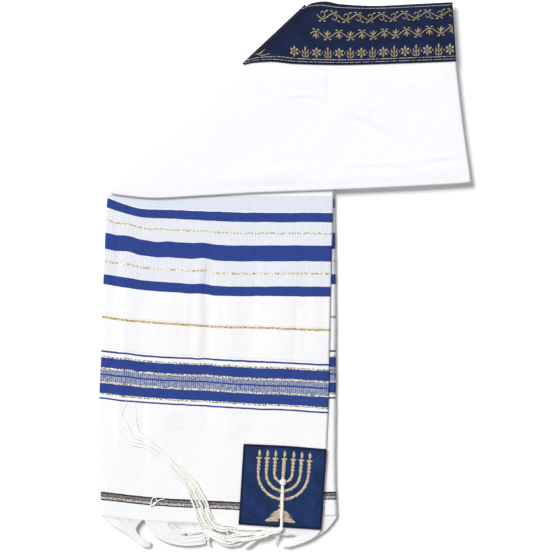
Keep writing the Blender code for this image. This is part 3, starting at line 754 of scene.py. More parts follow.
def weft_drop(down, across):
    near, mid, right = smooth(WEFT, down)
    curve = ((0.0, 0.0), (NEAR_FOLD, near), (LEFT_PART, near + (mid - near) * 0.55),
             (MIDDLE, mid), (RIGHT_PART, mid + (right - mid) * 0.42), (1.0, right))
    jog = sum(shift * hump(across, at, half) * hump(down + STRIPE_TOP, place, long)
              for at, half, place, long, shift in WEFT_JOGS)
    return smooth(curve, across)[0] + jog


def swell(left, across):
    rise = 0.35 + 0.2 * math.sin(left * 0.031 + across * 5.0)
    for folds, sway, steep in ((LONG_FOLDS, 0.0, 1.6), (FINE_CREASES, 0.012, 1.5)):
        for middle, half, start, end, height in folds:
            along = hump(left, 0.5 * (start + end), 0.5 * abs(start - end))
            drift = middle + sway * math.sin(left * 0.021 + middle * 40.0)
            rise += height * hump(across, drift, half) * min(1.0, steep * along)
    x = across * FRONT_WIDE
    rise += 0.3 * ripple(x, left, 34.0, 1.7) + 0.2 * ripple(x, left, 11.0, 5.1)
    flat = (soft_step(across / 0.04) * soft_step((1.0 - across) / 0.05)
            * soft_step((left - HEM) / 45.0) * soft_step((LOW_START - left) / 14.0))
    return max(rise, 0.0) * flat


def front_point(left, across):
    height = left - weft_drop(-left, across)
    height += 0.8 * ripple(across * FRONT_WIDE, left, 70.0, 9.2) * soft_step(across / 0.15)
    fold = smooth(SIDES, left)[0] + FOLD_LOW
    edge = smooth(SIDES, height)[1] + 0.5 * ripple(0.0, left, 40.0, 3.3) * soft_step((across - 0.6) / 0.4)
    return fold + (edge - fold) * across, height, LOW_TOP + swell(left, across)


print("middle of the front leaf", tuple(round(c, 1) for c in front_point(-100.0, 0.5)))

# %% [markdown]
# A cloth piece starts from `bmesh.ops.create_grid`, whose square is then laid on the form:
# each vertex knows its place across and along the cloth, and a function says where that place
# lies. The same two numbers become the UV map. Solidify gives the wall its thickness afterwards.

# %% Laying a grid on a form
def lay_grid(across_steps, along_steps, place, thread_place):
    bm = bmesh.new()
    bmesh.ops.create_grid(bm, x_segments=across_steps, y_segments=along_steps, size=1.0)
    where = {v: (0.5 + 0.5 * v.co.x, 0.5 + 0.5 * v.co.y) for v in bm.verts}
    threads = {}
    for v, (a, b) in where.items():
        threads[v] = thread_place(a, b)
        v.co = Vector(place(a, b)) * MM
    return bm, where, threads


def write_threads(bm, threads):
    layer = bm.loops.layers.uv.verify()
    for f in bm.faces:
        for loop in f.loops:
            loop[layer].uv = threads[loop.vert]


def finish_piece(name, bm, finish, thickness=0.0):
    """A piece from its mesh and its finish, with a wall that grows inwards if it has a thickness."""
    mesh = bpy.data.meshes.new(name)
    bm.to_mesh(mesh)
    bm.free()
    mesh.uv_layers[0].name = "cloth"
    mesh.shade_smooth()
    piece = bpy.data.objects.new(name, mesh)
    bpy.context.collection.objects.link(piece)
    mesh.materials.append(finish)
    if thickness:
        wall = piece.modifiers.new("wall", "SOLIDIFY")
        wall.thickness = thickness * MM
        wall.offset = -1.0
        wall.use_even_offset = True
    return piece


def face_up(bm):
    """Turn the cloth's outer side up, so that its wall grows down from it."""
    top = max(bm.faces, key=lambda f: f.calc_center_median().z)
    if top.normal.z < 0:
        bmesh.ops.reverse_faces(bm, faces=bm.faces)


print("cloth wall", CLOTH_THICK, "mm")

# %% [markdown]
# The lower stretch is one cloth folded lengthwise: the front leaf, a half turn round the fold on
# the left, and the back leaf under it. One grid runs round all three, so the fold has no seam.
# Two separate leaves would be simpler, but they would gape at the fold. The first rows fan out
# to the right, where the cloth was pulled over, so they lie close together.

# %% Lower stretch
FRONT_SHARE = 0.60
FOLD_SHARE = 0.63
TOP_ROWS = 0.12


def low_left(b):
    """Places down the lengthwise fold, close together in the first rows."""
    if b < TOP_ROWS:
        return LOW_START - (LOW_START - STRIPE_TOP) * b / TOP_ROWS
    return STRIPE_TOP - (STRIPE_TOP - HEM) * (b - TOP_ROWS) / (1 - TOP_ROWS)


def low_place(a, b):
    left = low_left(b)
    if a <= FRONT_SHARE:
        return front_point(left, 1.0 - a / FRONT_SHARE)
    fold, _, back = smooth(SIDES, left)
    if a <= FOLD_SHARE:
        turn = math.pi * (a - FRONT_SHARE) / (FOLD_SHARE - FRONT_SHARE)
        return (fold + FOLD_LOW * (1 - math.sin(turn)), left,
                LOW_BACK + FOLD_LOW + FOLD_LOW * math.cos(turn))
    across = (a - FOLD_SHARE) / (1 - FOLD_SHARE)
    start = fold + FOLD_LOW
    sway = 0.5 * ripple(3.0, left, 30.0, 7.7) * soft_step((across - 0.8) / 0.2)
    return start + (back - start) * across + sway, left, LOW_BACK


def low_threads(a, b):
    left = low_left(b)
    down = (STRIPE_TOP - left) * MM
    if left > STRIPE_TOP:
        across = max(1.0 - a / FRONT_SHARE, 0.0)
        down = (STRIPE_TOP - weft_drop(-STRIPE_TOP, across) - left + weft_drop(-left, across)) * MM
    if a <= FRONT_SHARE:
        return ((1.0 - a / FRONT_SHARE) * FRONT_WIDE * MM, down)
    return (-(a - FRONT_SHARE) / (1 - FRONT_SHARE) * BACK_WIDE * MM, down)


low_bm, _, low_map = lay_grid(180, 175, low_place, low_threads)
write_threads(low_bm, low_map)
face_up(low_bm)
lower_cloth = finish_piece("lower_cloth", low_bm, STRIPED, CLOTH_THICK)
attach(lower_cloth, "root")
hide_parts("lower_panel")
print("lower cloth", len(lower_cloth.data.polygons), "faces")

# %% [markdown]
# The upper stretch lies over the slanting fold to the right. On three sides its edge is a fold
# that rolls under: the slant on the left, the lengthwise fold below and the shawl's middle on
# the right. Its top is the open long edge. Four tables give the sides, and the cloth between
# them is blended from all four.

# %% Sizes of the upper stretch
UPPER_LEFT = (
    # along, x, y
    (0.00, -229.4, 107.4), (0.02, -225.6, 113.2), (0.20, -193.9, 143.0), (0.40, -156.6, 178.8),
    (0.60, -114.6, 219.0), (0.68, -99.0, 233.9), (0.76, -78.3, 253.5), (0.84, -55.9, 274.9),
    (0.92, -17.4, 311.0), (1.00, 25.0, 350.9),
)
UPPER_BOTTOM = (
    # along, x, y
    (0.00, -229.4, 107.4), (0.02, -221.0, 104.9), (0.12, -173.9, 100.3), (0.25, -111.5, 103.2),
    (0.40, -41.3, 107.2), (0.62, 62.7, 111.2), (0.81, 148.5, 115.0), (0.98, 234.0, 119.9),
    (1.00, 240.2, 121.5),
)
UPPER_RIGHT = (
    # along, x, y
    (0.00, 240.2, 121.5), (0.04, 239.5, 129.0), (0.42, 230.4, 193.1), (0.68, 223.9, 247.7),
    (0.84, 220.7, 278.3), (0.92, 218.0, 319.2), (1.00, 215.5, 354.6),
)
UPPER_TOP = (
    # along, x, y
    (0.00, 25.0, 350.9), (0.05, 34.1, 354.4), (0.14, 51.9, 355.6), (0.24, 70.5, 352.2),
    (0.46, 113.4, 349.9), (0.73, 164.1, 352.0), (1.00, 215.5, 354.6),
)
BAND_FOOT = 0.84
UPPER_CREASES = (
    # start x, y, end x, y, half width, height
    (-150.0, 130.0, 60.0, 300.0, 46.0, 0.5),
    (41.0, 231.0, 63.0, 212.0, 5.0, -0.7),
    (58.0, 215.0, 159.0, 169.0, 5.0, -0.75),
    (65.0, 223.0, 164.0, 178.0, 6.5, 0.4),
    (60.0, 250.0, 165.0, 196.0, 26.0, 0.5),
    (54.0, 268.0, 57.0, 222.0, 5.0, -0.6),
    (-6.0, 228.0, 48.0, 230.0, 4.5, -0.25),
    (-10.0, 234.0, 44.0, 235.0, 5.0, 0.25),
    (64.0, 139.4, 181.0, 139.4, 6.0, -0.25),
    (64.0, 146.0, 181.0, 146.0, 7.0, 0.2),
    (179.0, 145.5, 235.0, 150.5, 5.0, -0.35),
    (175.0, 152.0, 235.0, 157.0, 6.0, 0.25),
    (208.0, 127.0, 222.0, 137.0, 5.0, -0.4),
    (100.0, 255.0, 200.0, 235.0, 24.0, 0.5),
    (-90.0, 125.0, 40.0, 135.0, 18.0, 0.6),
)


def side_of(table, along):
    return Vector(smooth(table, along))


def upper_rise(x, y):
    rise = 0.5 + 0.26 * ripple(x, y, 40.0, 2.2) + 0.14 * ripple(x, y, 13.0, 4.4)
    for x0, y0, x1, y1, half, height in UPPER_CREASES:
        length = math.hypot(x1 - x0, y1 - y0)
        along = ((x - x0) * (x1 - x0) + (y - y0) * (y1 - y0)) / length ** 2
        off = ((x - x0) * (y1 - y0) - (y - y0) * (x1 - x0)) / length
        rise += height * hump(off, 0.0, half) * hump(along, 0.5, 0.62)
    return rise


print("creases of the upper stretch", len(UPPER_CREASES))

# %% [markdown]
# The outline is walked once, down the slant, along the lengthwise fold and up the right side.
# At each point `inward` gives the direction into the cloth, longer at a corner, so the rolled
# rim keeps its radius round the corners. The places between the sides are blended from all
# four, which is called a Coons patch. A plain stretched grid would not meet all the sides.

# %% Form of the upper stretch
def inward(points, k):
    """The direction into the cloth at point k of an outline that is walked with it on the left."""
    here = points[k]
    normals = []
    for a, b in ((points[max(k - 1, 0)], here), (here, points[min(k + 1, len(points) - 1)])):
        if (b - a).length > 1e-6:
            step = (b - a).normalized()
            normals.append(Vector((-step.y, step.x)))
    middle = sum(normals, Vector((0.0, 0.0))).normalized()
    return middle / max(0.55, middle.dot(normals[0]))


def upper_sides(rows, columns, foot):
    """The outline points and the four inner sides of the grid, from the row at foot upwards."""
    levels = [foot + (1 - foot) * k / rows for k in range(rows + 1)]
    spots = [k / columns for k in range(columns + 1)]
    left = [side_of(UPPER_LEFT, t) for t in levels]
    right = [side_of(UPPER_RIGHT, t) for t in levels]
    bottom = [side_of(UPPER_BOTTOM, s) for s in spots]
    return levels, spots, left, bottom, right


def blend_sides(s, t, left, right, bottom, top, corners):
    across = left * (1 - s) + right * s
    up = bottom * (1 - t) + top * t
    base = (corners[0] * ((1 - s) * (1 - t)) + corners[1] * (s * (1 - t))
            + corners[2] * ((1 - s) * t) + corners[3] * (s * t))
    return across + up - base


def upper_at(s, t):
    """A place on the upper side of the upper stretch, well inside its rolled rims."""
    left, right = side_of(UPPER_LEFT, t), side_of(UPPER_RIGHT, t)
    bottom, top = side_of(UPPER_BOTTOM, s), side_of(UPPER_TOP, s)
    corners = (side_of(UPPER_LEFT, 0.0), side_of(UPPER_RIGHT, 0.0),
               side_of(UPPER_LEFT, 1.0), side_of(UPPER_RIGHT, 1.0))
    at = blend_sides(s, t, left, right, bottom, top, corners)
    flat = (soft_step(s / 0.06) * soft_step((1 - s) / 0.06) * soft_step(t / 0.08)
            * (1 - 0.7 * soft_step((t - 0.78) / 0.06)))
    return Vector((at.x, at.y, HIGH_TOP + max(upper_rise(at.x, at.y), 0.0) * flat))


print("middle of the upper stretch", tuple(round(c, 1) for c in upper_at(0.5, 0.5)))

# %% [markdown]
# The cloth rolls under at its folds. Its grid ends one radius inside the outline, and its border
# edges are then extruded round the roll, step by step, like the lip of a shell. A Bevel modifier
# could round the rim of a flat slab, but the cloth's map would not follow it round.

# %% Rolled rims
RIM_FADE = 8.0
MAP_FOOT = 275.0


def rim_directions(left, bottom, right, with_bottom):
    """The directions into the cloth along its left, lower and right rims."""
    rows, columns = len(left) - 1, len(bottom) - 1
    if with_bottom:
        outline = left[::-1] + bottom[1:] + right[1:]
        shift = [inward(outline, k) for k in range(len(outline))]
        return shift[:rows + 1][::-1], shift[rows:rows + columns + 1], shift[rows + columns:]
    return ([inward(left[::-1], rows - k) for k in range(rows + 1)],
            [Vector((0.0, 0.0))] * (columns + 1), [inward(right, k) for k in range(rows + 1)])


def roll_rims(bm, threads, runs, lift, roll_steps, roll_end):
    """Extrude each run of border vertices round its rim. A run holds vertex, rim and direction."""
    middle = HIGH_BOTTOM + FOLD_HIGH
    radius = FOLD_HIGH + lift
    for run in runs:
        current = [border for border, _, _ in run]
        for step in range(1, roll_steps + 1):
            turn = roll_end * step / roll_steps
            edges = [bm.edges.get((a, b)) for a, b in zip(current, current[1:])]
            made = bmesh.ops.extrude_edge_only(bm, edges=edges)["geom"]
            fresh = {v for v in made if isinstance(v, bmesh.types.BMVert)}
            after = []
            for v, (border, rim, into) in zip(current, run):
                new = next(e.other_vert(v) for e in v.link_edges if e.other_vert(v) in fresh)
                at = rim + into * (FOLD_HIGH - radius * math.sin(turn))
                new.co = Vector((at.x, at.y, middle + radius * math.cos(turn))) * MM
                out = -into.normalized() * (radius * turn * MM)
                threads[new] = (threads[border][0] + out.x, threads[border][1] + out.y)
                after.append(new)
            current = after


print("rolled rims fade over", round(1 / RIM_FADE, 3), "of the width")

# %% [markdown]
# `rolled_cloth` lays the grid, pulls its border in by one radius and rolls it. The cloth and the
# neckband are both made by it, with their own height and their own number of rows, so the band
# follows the cloth below it round each fold.

# %% Rolled cloth
def rolled_cloth(rows, columns, foot, lift, roll_steps, roll_end, with_bottom):
    """The upper stretch from the row at foot upwards, lifted, with its rims rolled by an angle."""
    levels, spots, left, bottom, right = upper_sides(rows, columns, foot)
    left_in, bottom_in, right_in = rim_directions(left, bottom, right, with_bottom)

    def place(a, b):
        i, j = round(b * rows), round(a * columns)
        s, t = spots[j], levels[i]
        at = upper_at(s, t)
        into = (left_in[i] * max(0.0, 1 - s * RIM_FADE)
                + right_in[i] * max(0.0, 1 - (1 - s) * RIM_FADE))
        if with_bottom and i == 0 and j in (0, columns):
            into = bottom_in[j]
        elif with_bottom:
            into = into + bottom_in[j] * max(0.0, 1 - t * RIM_FADE)
        return at.x + into.x * FOLD_HIGH, at.y + into.y * FOLD_HIGH, at.z + lift

    def map_place(a, b):
        s = spots[round(a * columns)]
        at = upper_at(s, levels[round(b * rows)])
        base = upper_at(s, foot).y if foot else MAP_FOOT
        return at.x * MM, (at.y - base) * MM

    bm, where, threads = lay_grid(columns, rows, place, map_place)
    by_place = {(round(b * rows), round(a * columns)): v for v, (a, b) in where.items()}
    left_run = [(by_place[(i, 0)], left[i], left_in[i]) for i in range(rows, -1, -1)]
    bottom_run = [(by_place[(0, j)], bottom[j], bottom_in[j]) for j in range(1, columns)]
    right_run = [(by_place[(i, columns)], right[i], right_in[i]) for i in range(rows + 1)]
    runs = [left_run + bottom_run + right_run] if with_bottom else [left_run, right_run]
    roll_rims(bm, threads, runs, lift, roll_steps, roll_end)
    bmesh.ops.recalc_face_normals(bm, faces=bm.faces)
    write_threads(bm, threads)
    face_up(bm)
    return bm


upper_cloth = finish_piece("upper_cloth", rolled_cloth(84, 130, 0.0, 0.0, 8, math.pi, True),
                           UPPER_WHITE, CLOTH_THICK)
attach(upper_cloth, "root")
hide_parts("upper_panel")
print("upper cloth", len(upper_cloth.data.polygons), "faces")

# %% [markdown]
# The neckband is a satin strip sewn along the open edge. It is cut from the same form as the
# cloth below it, lifted off it by its own thickness, and it rolls over the two folds at its
# ends with the cloth. A copy of the cloth's faces would do too, but its own grid can be finer.

# %% Neckband
BAND_LIFT = 1.1
band_bm = rolled_cloth(22, 96, BAND_FOOT, BAND_LIFT, 5, math.radians(84), False)
neckband = finish_piece("neckband_satin", band_bm, BAND_SATIN, 0.75)
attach(neckband, "root")
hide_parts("neckband")
print("neckband", len(neckband.data.polygons), "faces")

# %% [markdown]
# The corner patch is a navy satin square sewn over the corner, where the knotted fringe goes
# through. Its grid is laid on the front leaf's own surface and lifted off it, so it follows
# each swell. A Shrinkwrap modifier could press it on, but then its place would be less exact.

# %% Corner patch
PATCH_TOP, PATCH_FOOT = -206.7, -311.0
PATCH_SIDES = ((0.0, 0.633, 1.0), (1.0, 0.621, 0.998))
PATCH_LIFT = 1.15
PATCH_WIDE, PATCH_TALL = 107.0, 103.5


def patch_at(px, py, lift):
    """A place on the patch: px from its left side, py from its top, both from 0 to 1."""
    left = PATCH_TOP + (PATCH_FOOT - PATCH_TOP) * py
    low, high = smooth(PATCH_SIDES, py)
    x, y, z = front_point(left, low + (high - low) * px)
    return Vector((x, y, z + lift))


patch_bm, _, patch_map = lay_grid(
    36, 36, lambda a, b: patch_at(a, 1 - b, PATCH_LIFT),
    lambda a, b: (a * PATCH_WIDE * MM, b * PATCH_TALL * MM))
write_threads(patch_bm, patch_map)
face_up(patch_bm)
corner_patch = finish_piece("corner_patch_satin", patch_bm, PATCH_SATIN, 0.8)
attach(corner_patch, "root")
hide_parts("corner_patch")
print("patch", PATCH_WIDE, "by", PATCH_TALL, "mm")

# %% [markdown]
# Embroidered strokes are narrow domed strips. A stroke is a small grid again: its length
# follows a list of points, its width can swell and taper like a leaf, and a function lifts it
# onto the satin. A curve with a bevel would be round, and satin stitch is wide and low.

# %% Embroidered strokes
def add_stroke(bm, threads, points, wide, high, on, leaf):
    """One stitched stroke through points on a flat plan, laid on a surface by the function on."""
    steps = max(6, 3 * (len(points) - 1))
    table = []
    length = 0.0
    for k, (x, y) in enumerate(points):
        if k:
            length += math.hypot(x - points[k - 1][0], y - points[k - 1][1])
        table.append((length, x, y))
    made = bmesh.ops.create_grid(bm, x_segments=4, y_segments=steps, size=1.0)["verts"]
    for v in made:
        q, along = v.co.x, (0.5 + 0.5 * v.co.y) * length
        x, y = smooth(table, along)
        x1, y1 = smooth(table, min(along + 0.2, length))
        x0, y0 = smooth(table, max(along - 0.2, 0.0))
        run = Vector((x1 - x0, y1 - y0)).normalized()
        half = 0.5 * wide
        if leaf:
            half *= max(0.12, abs(math.sin(math.pi * along / length)) ** 0.8)
        edge = 1 - abs(q) ** 2.5
        threads[v] = (q * half * MM, along * MM)
        v.co = on(x - run.y * q * half, y + run.x * q * half, high * edge) * MM


def sew_strokes(strokes, on, high, share=1.0):
    """A mesh of strokes. Each is its points, its width and whether it tapers like a leaf."""
    bm = bmesh.new()
    threads = {}
    for points, wide, leaf in strokes:
        add_stroke(bm, threads, points, share * wide, high, on, leaf)
    write_threads(bm, threads)
    for f in bm.faces:
        f.normal_update()
        if f.normal.z < 0:
            f.normal_flip()
    return bm


def stitched_piece(name, strokes, on, finish, high):
    return finish_piece(name, sew_strokes(strokes, on, high), finish, 0.35)


def arc(cx, cy, radius, start, end, count):
    turns = [math.radians(start + (end - start) * k / count) for k in range(count + 1)]
    return [(cx + radius * math.cos(turn), cy + radius * math.sin(turn)) for turn in turns]


def bar(x, y, half, wide, leaf=True):
    """A short level stroke about a point."""
    return [(x - half, y), (x + half, y)], wide, leaf


print("a quarter circle in two steps", [tuple(round(c, 2) for c in p) for p in arc(0, 0, 1, 0, 90, 2)])

# %% [markdown]
# The patch carries a seven-branched lamp, a traditional emblem, drawn here from a rule: three
# half rings about one centre, straight arms up to one level, a cup and a flame on each arm, and
# a stem on a bell-shaped foot with two flared feet. It could be traced as one flat curve, but
# strokes keep the direction of each line of thread.

# %% Lamp on the patch
LAMP_RINGS = (11.6, 22.0, 32.4)
LAMP_MIDDLE = (0.0, 17.0)
LAMP_TOP = 34.0
STEM_FOOT = -34.0
KNOPS = (-6.0, -14.0, -24.0)
BELL = (
    # height, half width
    (-29.2, 5.4), (-31.4, 10.4), (-34.0, 13.2), (-36.6, 14.8), (-39.2, 16.0),
)
STITCH_SEAT = 0.28


def on_patch(x, y, lift):
    return patch_at(0.5 + x / PATCH_WIDE, 0.5 - y / PATCH_TALL, PATCH_LIFT + STITCH_SEAT + lift)


def lamp_rings():
    strokes = []
    cx, cy = LAMP_MIDDLE
    for radius in LAMP_RINGS:
        ring = [(cx - radius, LAMP_TOP)] + arc(cx, cy, radius, 180, 360, 18) + [(cx + radius, LAMP_TOP)]
        strokes.append((ring, 3.4, False))
        knots = max(4, round(math.pi * radius / 8.0))
        for k in range(1, knots):
            a = math.pi * (1 + k / knots)
            knot = [(cx + r * math.cos(a), cy + r * math.sin(a)) for r in (radius - 2.4, radius + 2.4)]
            strokes.append((knot, 2.8, True))
    return strokes


def lamp_arm(x):
    """The beads, the cup and the flame on top of an arm."""
    beads = [bar(x, LAMP_TOP - down, 2.8, 3.4) for down in (13.0, 8.6, 4.2)]
    flame = [(x, LAMP_TOP + 2.2), (x + 0.6, LAMP_TOP + 6.5), (x, LAMP_TOP + 11.5)]
    return beads + [bar(x, LAMP_TOP + 0.6, 3.4, 3.0, False), (flame, 4.4, True)]


def lamp_foot():
    strokes = []
    for y, half in BELL:
        row = [(-half, y - 1.6), (-0.5 * half, y), (0.5 * half, y), (half, y - 1.6)]
        strokes.append((row, 3.7, True))
    for side in (-1, 1):
        strokes.append(([(1.5 * side, -41.2), (10.0 * side, -41.4), (19.8 * side, -44.6)], 5.0, True))
        strokes.append(([(2.0 * side, -43.6), (11.0 * side, -44.0), (17.5 * side, -44.8)], 2.6, False))
    return strokes + [bar(0.0, knop, 4.6, 3.6) for knop in KNOPS]


def lamp_strokes():
    strokes = lamp_rings() + [([(0.0, LAMP_TOP), (0.0, 0.0), (0.0, STEM_FOOT)], 4.4, False)]
    for x in [-radius for radius in LAMP_RINGS[::-1]] + [0.0] + list(LAMP_RINGS):
        strokes += lamp_arm(LAMP_MIDDLE[0] + x)
    return strokes + lamp_foot()


lamp = stitched_piece("patch_lamp", lamp_strokes(), on_patch, LAMP_GOLD, 0.75)
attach(lamp, "root")
print("lamp strokes", len(lamp_strokes()))

# %% [markdown]
# The band's ornament is three rows of gold: a scroll with curls, a scroll with buds that runs
# the other way, and a row of flowers and sprigs, all set out by loops. The leaves are short
# tables, turned up or down in each bend. Each row starts further left as the slanting fold lets
# it, and strokes past the folds at the two ends are trimmed with `bisect_plane`.

# %% Leaves of the ornament
BAND_TALL = 75.5
BAND_END = 222.0
BUD_LEAVES = (
    # width, then places: millimetres along, share of half the row up
    (4.4, (-0.6, -0.5), (0.0, 0.1), (0.8, 0.85)),
    (2.0, (0.0, -0.1), (-2.2, 0.1), (-4.2, 0.62)),
    (2.0, (0.0, -0.1), (2.2, 0.1), (4.2, 0.62)),
)
CURL_LEAVES = ((2.8, (3.6, 0.5), (5.6, 0.85), (8.0, 0.9)),)
OUTER_LEAVES = (
    (2.8, (-0.5, -0.6), (-2.8, -0.95), (-5.6, -0.98)),
    (2.4, (0.8, -0.6), (3.0, -0.92), (5.2, -0.8)),
)
SPRIG_LEAVES = (
    (3.6, (0.0, 0.2), (0.0, 1.0)),
    (2.4, (0.0, -0.85), (-2.88, -0.70), (-4.8, -0.10)),
    (2.4, (0.0, -0.25), (-2.52, -0.10), (-4.2, 0.50)),
    (2.4, (0.0, -0.85), (2.88, -0.70), (4.8, -0.10)),
    (2.4, (0.0, -0.25), (2.52, -0.10), (4.2, 0.50)),
)


def leaves(table, x, level, half, side=1):
    return [([(x + dx, level + side * dy * half) for dx, dy in places], wide, True)
            for wide, *places in table]


print("leaves of a sprig", len(leaves(SPRIG_LEAVES, 0.0, 0.0, 7.0)))

# %% [markdown]
# A scroll's stem waves up and down, and in each bend it carries a curl or a bud, turned to that
# side. Flowers are six petals turned about a middle. An Array modifier could repeat one bend,
# but every second one has to be turned over, and a loop does that with one sign.

# %% Rows of ornament
def scroll_row(level, start, half, side, budded):
    """A running scroll: a wavy stem with a curl or a bud in each bend and leaves outside it."""
    strokes = []
    reach = 2.3 * half
    x = start
    while x < BAND_END:
        stem = [(x + reach * k / 8, level - side * 0.55 * half * math.sin(math.pi * k / 8))
                for k in range(9)]
        strokes.append((stem, 1.9, False))
        middle = x + reach / 2
        if budded:
            strokes += leaves(BUD_LEAVES, middle, level, half, side)
        else:
            curl = arc(middle + 0.6, level + side * 0.18 * half, 0.42 * half, -100 * side, 190 * side, 10)
            strokes.append((curl, 1.7, False))
            strokes += leaves(CURL_LEAVES, middle, level, half, side)
        strokes += leaves(OUTER_LEAVES, middle, level, half, side)
        x += reach
        side = -side
    return strokes


def flower_row(level, start, half):
    """Round flowers and upright sprigs by turns, with a small bud between them."""
    strokes = []
    x = start + half
    turn = 0
    while x < BAND_END + half:
        if turn % 2 == 0:
            for k in range(6):
                a = math.radians(60 * k + 30)
                petal = [(x + r * math.cos(a), level + r * math.sin(a)) for r in (1.3, 0.9 * half)]
                strokes.append((petal, 4.0, True))
            strokes.append(bar(x, level, 1.5, 3.0))
        else:
            strokes.append(([(x, level - half), (x, level + 0.3 * half)], 1.8, False))
            strokes += leaves(SPRIG_LEAVES, x, level, half)
        bud = x + 0.5 * half + 3.6
        strokes.append(([(bud, level - 1.6), (bud, level + 1.6)], 2.2, True))
        x += half + 7.2
        turn += 1
    return strokes


print("flower row", len(flower_row(0.0, 0.0, 7.0)), "strokes")

# %% [markdown]
# The rows are laid on the band by `on_band`, which turns a place along and up the band into a
# place on its satin. A small leaf pair fills the band's sharp left corner.

# %% Ornament of the neckband
CURL_ROW = (0.795, 40.0, 6.6)
BUD_ROW = (0.50, 32.0, 6.4)
FLOWER_ROW = (0.215, 4.0, 7.2)
CORNER_LEAVES = [
    ([(-41.0, 12.0), (-33.0, 13.0), (-26.0, 18.5)], 3.2, True),
    ([(-38.0, 11.5), (-28.0, 9.5), (-19.0, 12.5)], 2.4, True),
]
THREAD_SHARE = 0.78


def on_band(x, v, lift):
    t = BAND_FOOT + (1 - BAND_FOOT) * v / BAND_TALL
    x0, x1 = side_of(UPPER_LEFT, t).x, side_of(UPPER_RIGHT, t).x
    at = upper_at(min(max((x - x0) / (x1 - x0), 0.0), 1.0), t)
    return Vector((at.x, at.y, at.z + BAND_LIFT + 0.25 + lift))


def placed(row):
    """A row's level in millimetres, its start and half its height, from its share of the band."""
    share, start, half = row
    return share * BAND_TALL, start, half


def band_strokes():
    return (scroll_row(*placed(CURL_ROW), 1, False) + scroll_row(*placed(BUD_ROW), -1, True)
            + flower_row(*placed(FLOWER_ROW)) + CORNER_LEAVES)


ornament_bm = sew_strokes(band_strokes(), on_band, 0.6, THREAD_SHARE)
for low, high, inset in ((UPPER_RIGHT[-3], UPPER_RIGHT[-1], 1.2),
                         (UPPER_LEFT[-1], UPPER_LEFT[-3], 2.0)):
    run = Vector((high[1] - low[1], high[2] - low[2])).normalized()
    out = Vector((run.y, -run.x, 0.0))
    edge_point = Vector((low[1], low[2], 0.0)) - out * inset
    everything = ornament_bm.verts[:] + ornament_bm.edges[:] + ornament_bm.faces[:]
    bmesh.ops.bisect_plane(ornament_bm, geom=everything, plane_co=edge_point * MM, plane_no=out,
                           clear_outer=True)
ornament = finish_piece("neckband_ornament", ornament_bm, BAND_GOLD, 0.3)
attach(ornament, "root")
print("ornament strokes", len(band_strokes()))

# %% [markdown]
# Round the patch runs a close zigzag of navy thread that holds its cut edge, and the band's
# foot is held by a line of small stitches. Each stitch is a short domed stroke. A picture of
# stitches would be lighter, but real ones catch the light along the edge.

# %% Edge stitches
EDGE_PITCH = 1.25
EDGE_INSET = 0.2
EDGE_SEAT = 0.12
BAND_STITCHES, BAND_PITCH = 96, 2.85


def patch_edge_strokes():
    strokes = []
    half_w, half_h = PATCH_WIDE / 2 - EDGE_INSET, PATCH_TALL / 2 - EDGE_INSET
    corners = ((-half_w, half_h), (half_w, half_h), (half_w, -half_h), (-half_w, -half_h))
    for k in range(4):
        (x0, y0), (x1, y1) = corners[k], corners[(k + 1) % 4]
        length = math.hypot(x1 - x0, y1 - y0)
        run = Vector(((x1 - x0) / length, (y1 - y0) / length))
        into = Vector((run.y, -run.x))
        for n in range(int(length / EDGE_PITCH)):
            at = Vector((x0, y0)) + run * (n + 0.5) * EDGE_PITCH
            strokes.append(([tuple(at - into * 0.5), tuple(at + into * 2.3 + run * 0.5)], 1.05, False))
    return strokes


def on_patch_edge(x, y, lift):
    return on_patch(x, y, lift + EDGE_SEAT - STITCH_SEAT)


patch_edge = stitched_piece("patch_edge_stitches", patch_edge_strokes(), on_patch_edge, NAVY_THREAD, 0.45)
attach(patch_edge, "root")

band_edge_strokes = [([(x, 0.7), (x + 1.7, 0.7)], 0.7, False)
                     for x in (-52.0 + n * BAND_PITCH for n in range(BAND_STITCHES))]
band_edge = stitched_piece("neckband_stitches", band_edge_strokes, on_band, NAVY_THREAD, 0.2)
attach(band_edge, "root")
print("stitches", len(patch_edge_strokes()), "round the patch,", BAND_STITCHES, "on the band")

# %% [markdown]
# Under the cloth that shows lie the other layers of the folded shawl. They are one rounded
# pile with layered edges: a plan outline is extruded ring by ring and pulled in between layers,
# and noise makes each edge a little uneven, as stacked folds are. Separate sheets would look
# the same from outside and would need many times the faces.

# %% Pile of layers
LAYER_EDGE = (
    # inset of the ring, its share of the layer's height
    (0.6, 0.0), (0.18, 0.22), (0.0, 0.5), (0.18, 0.78),
)


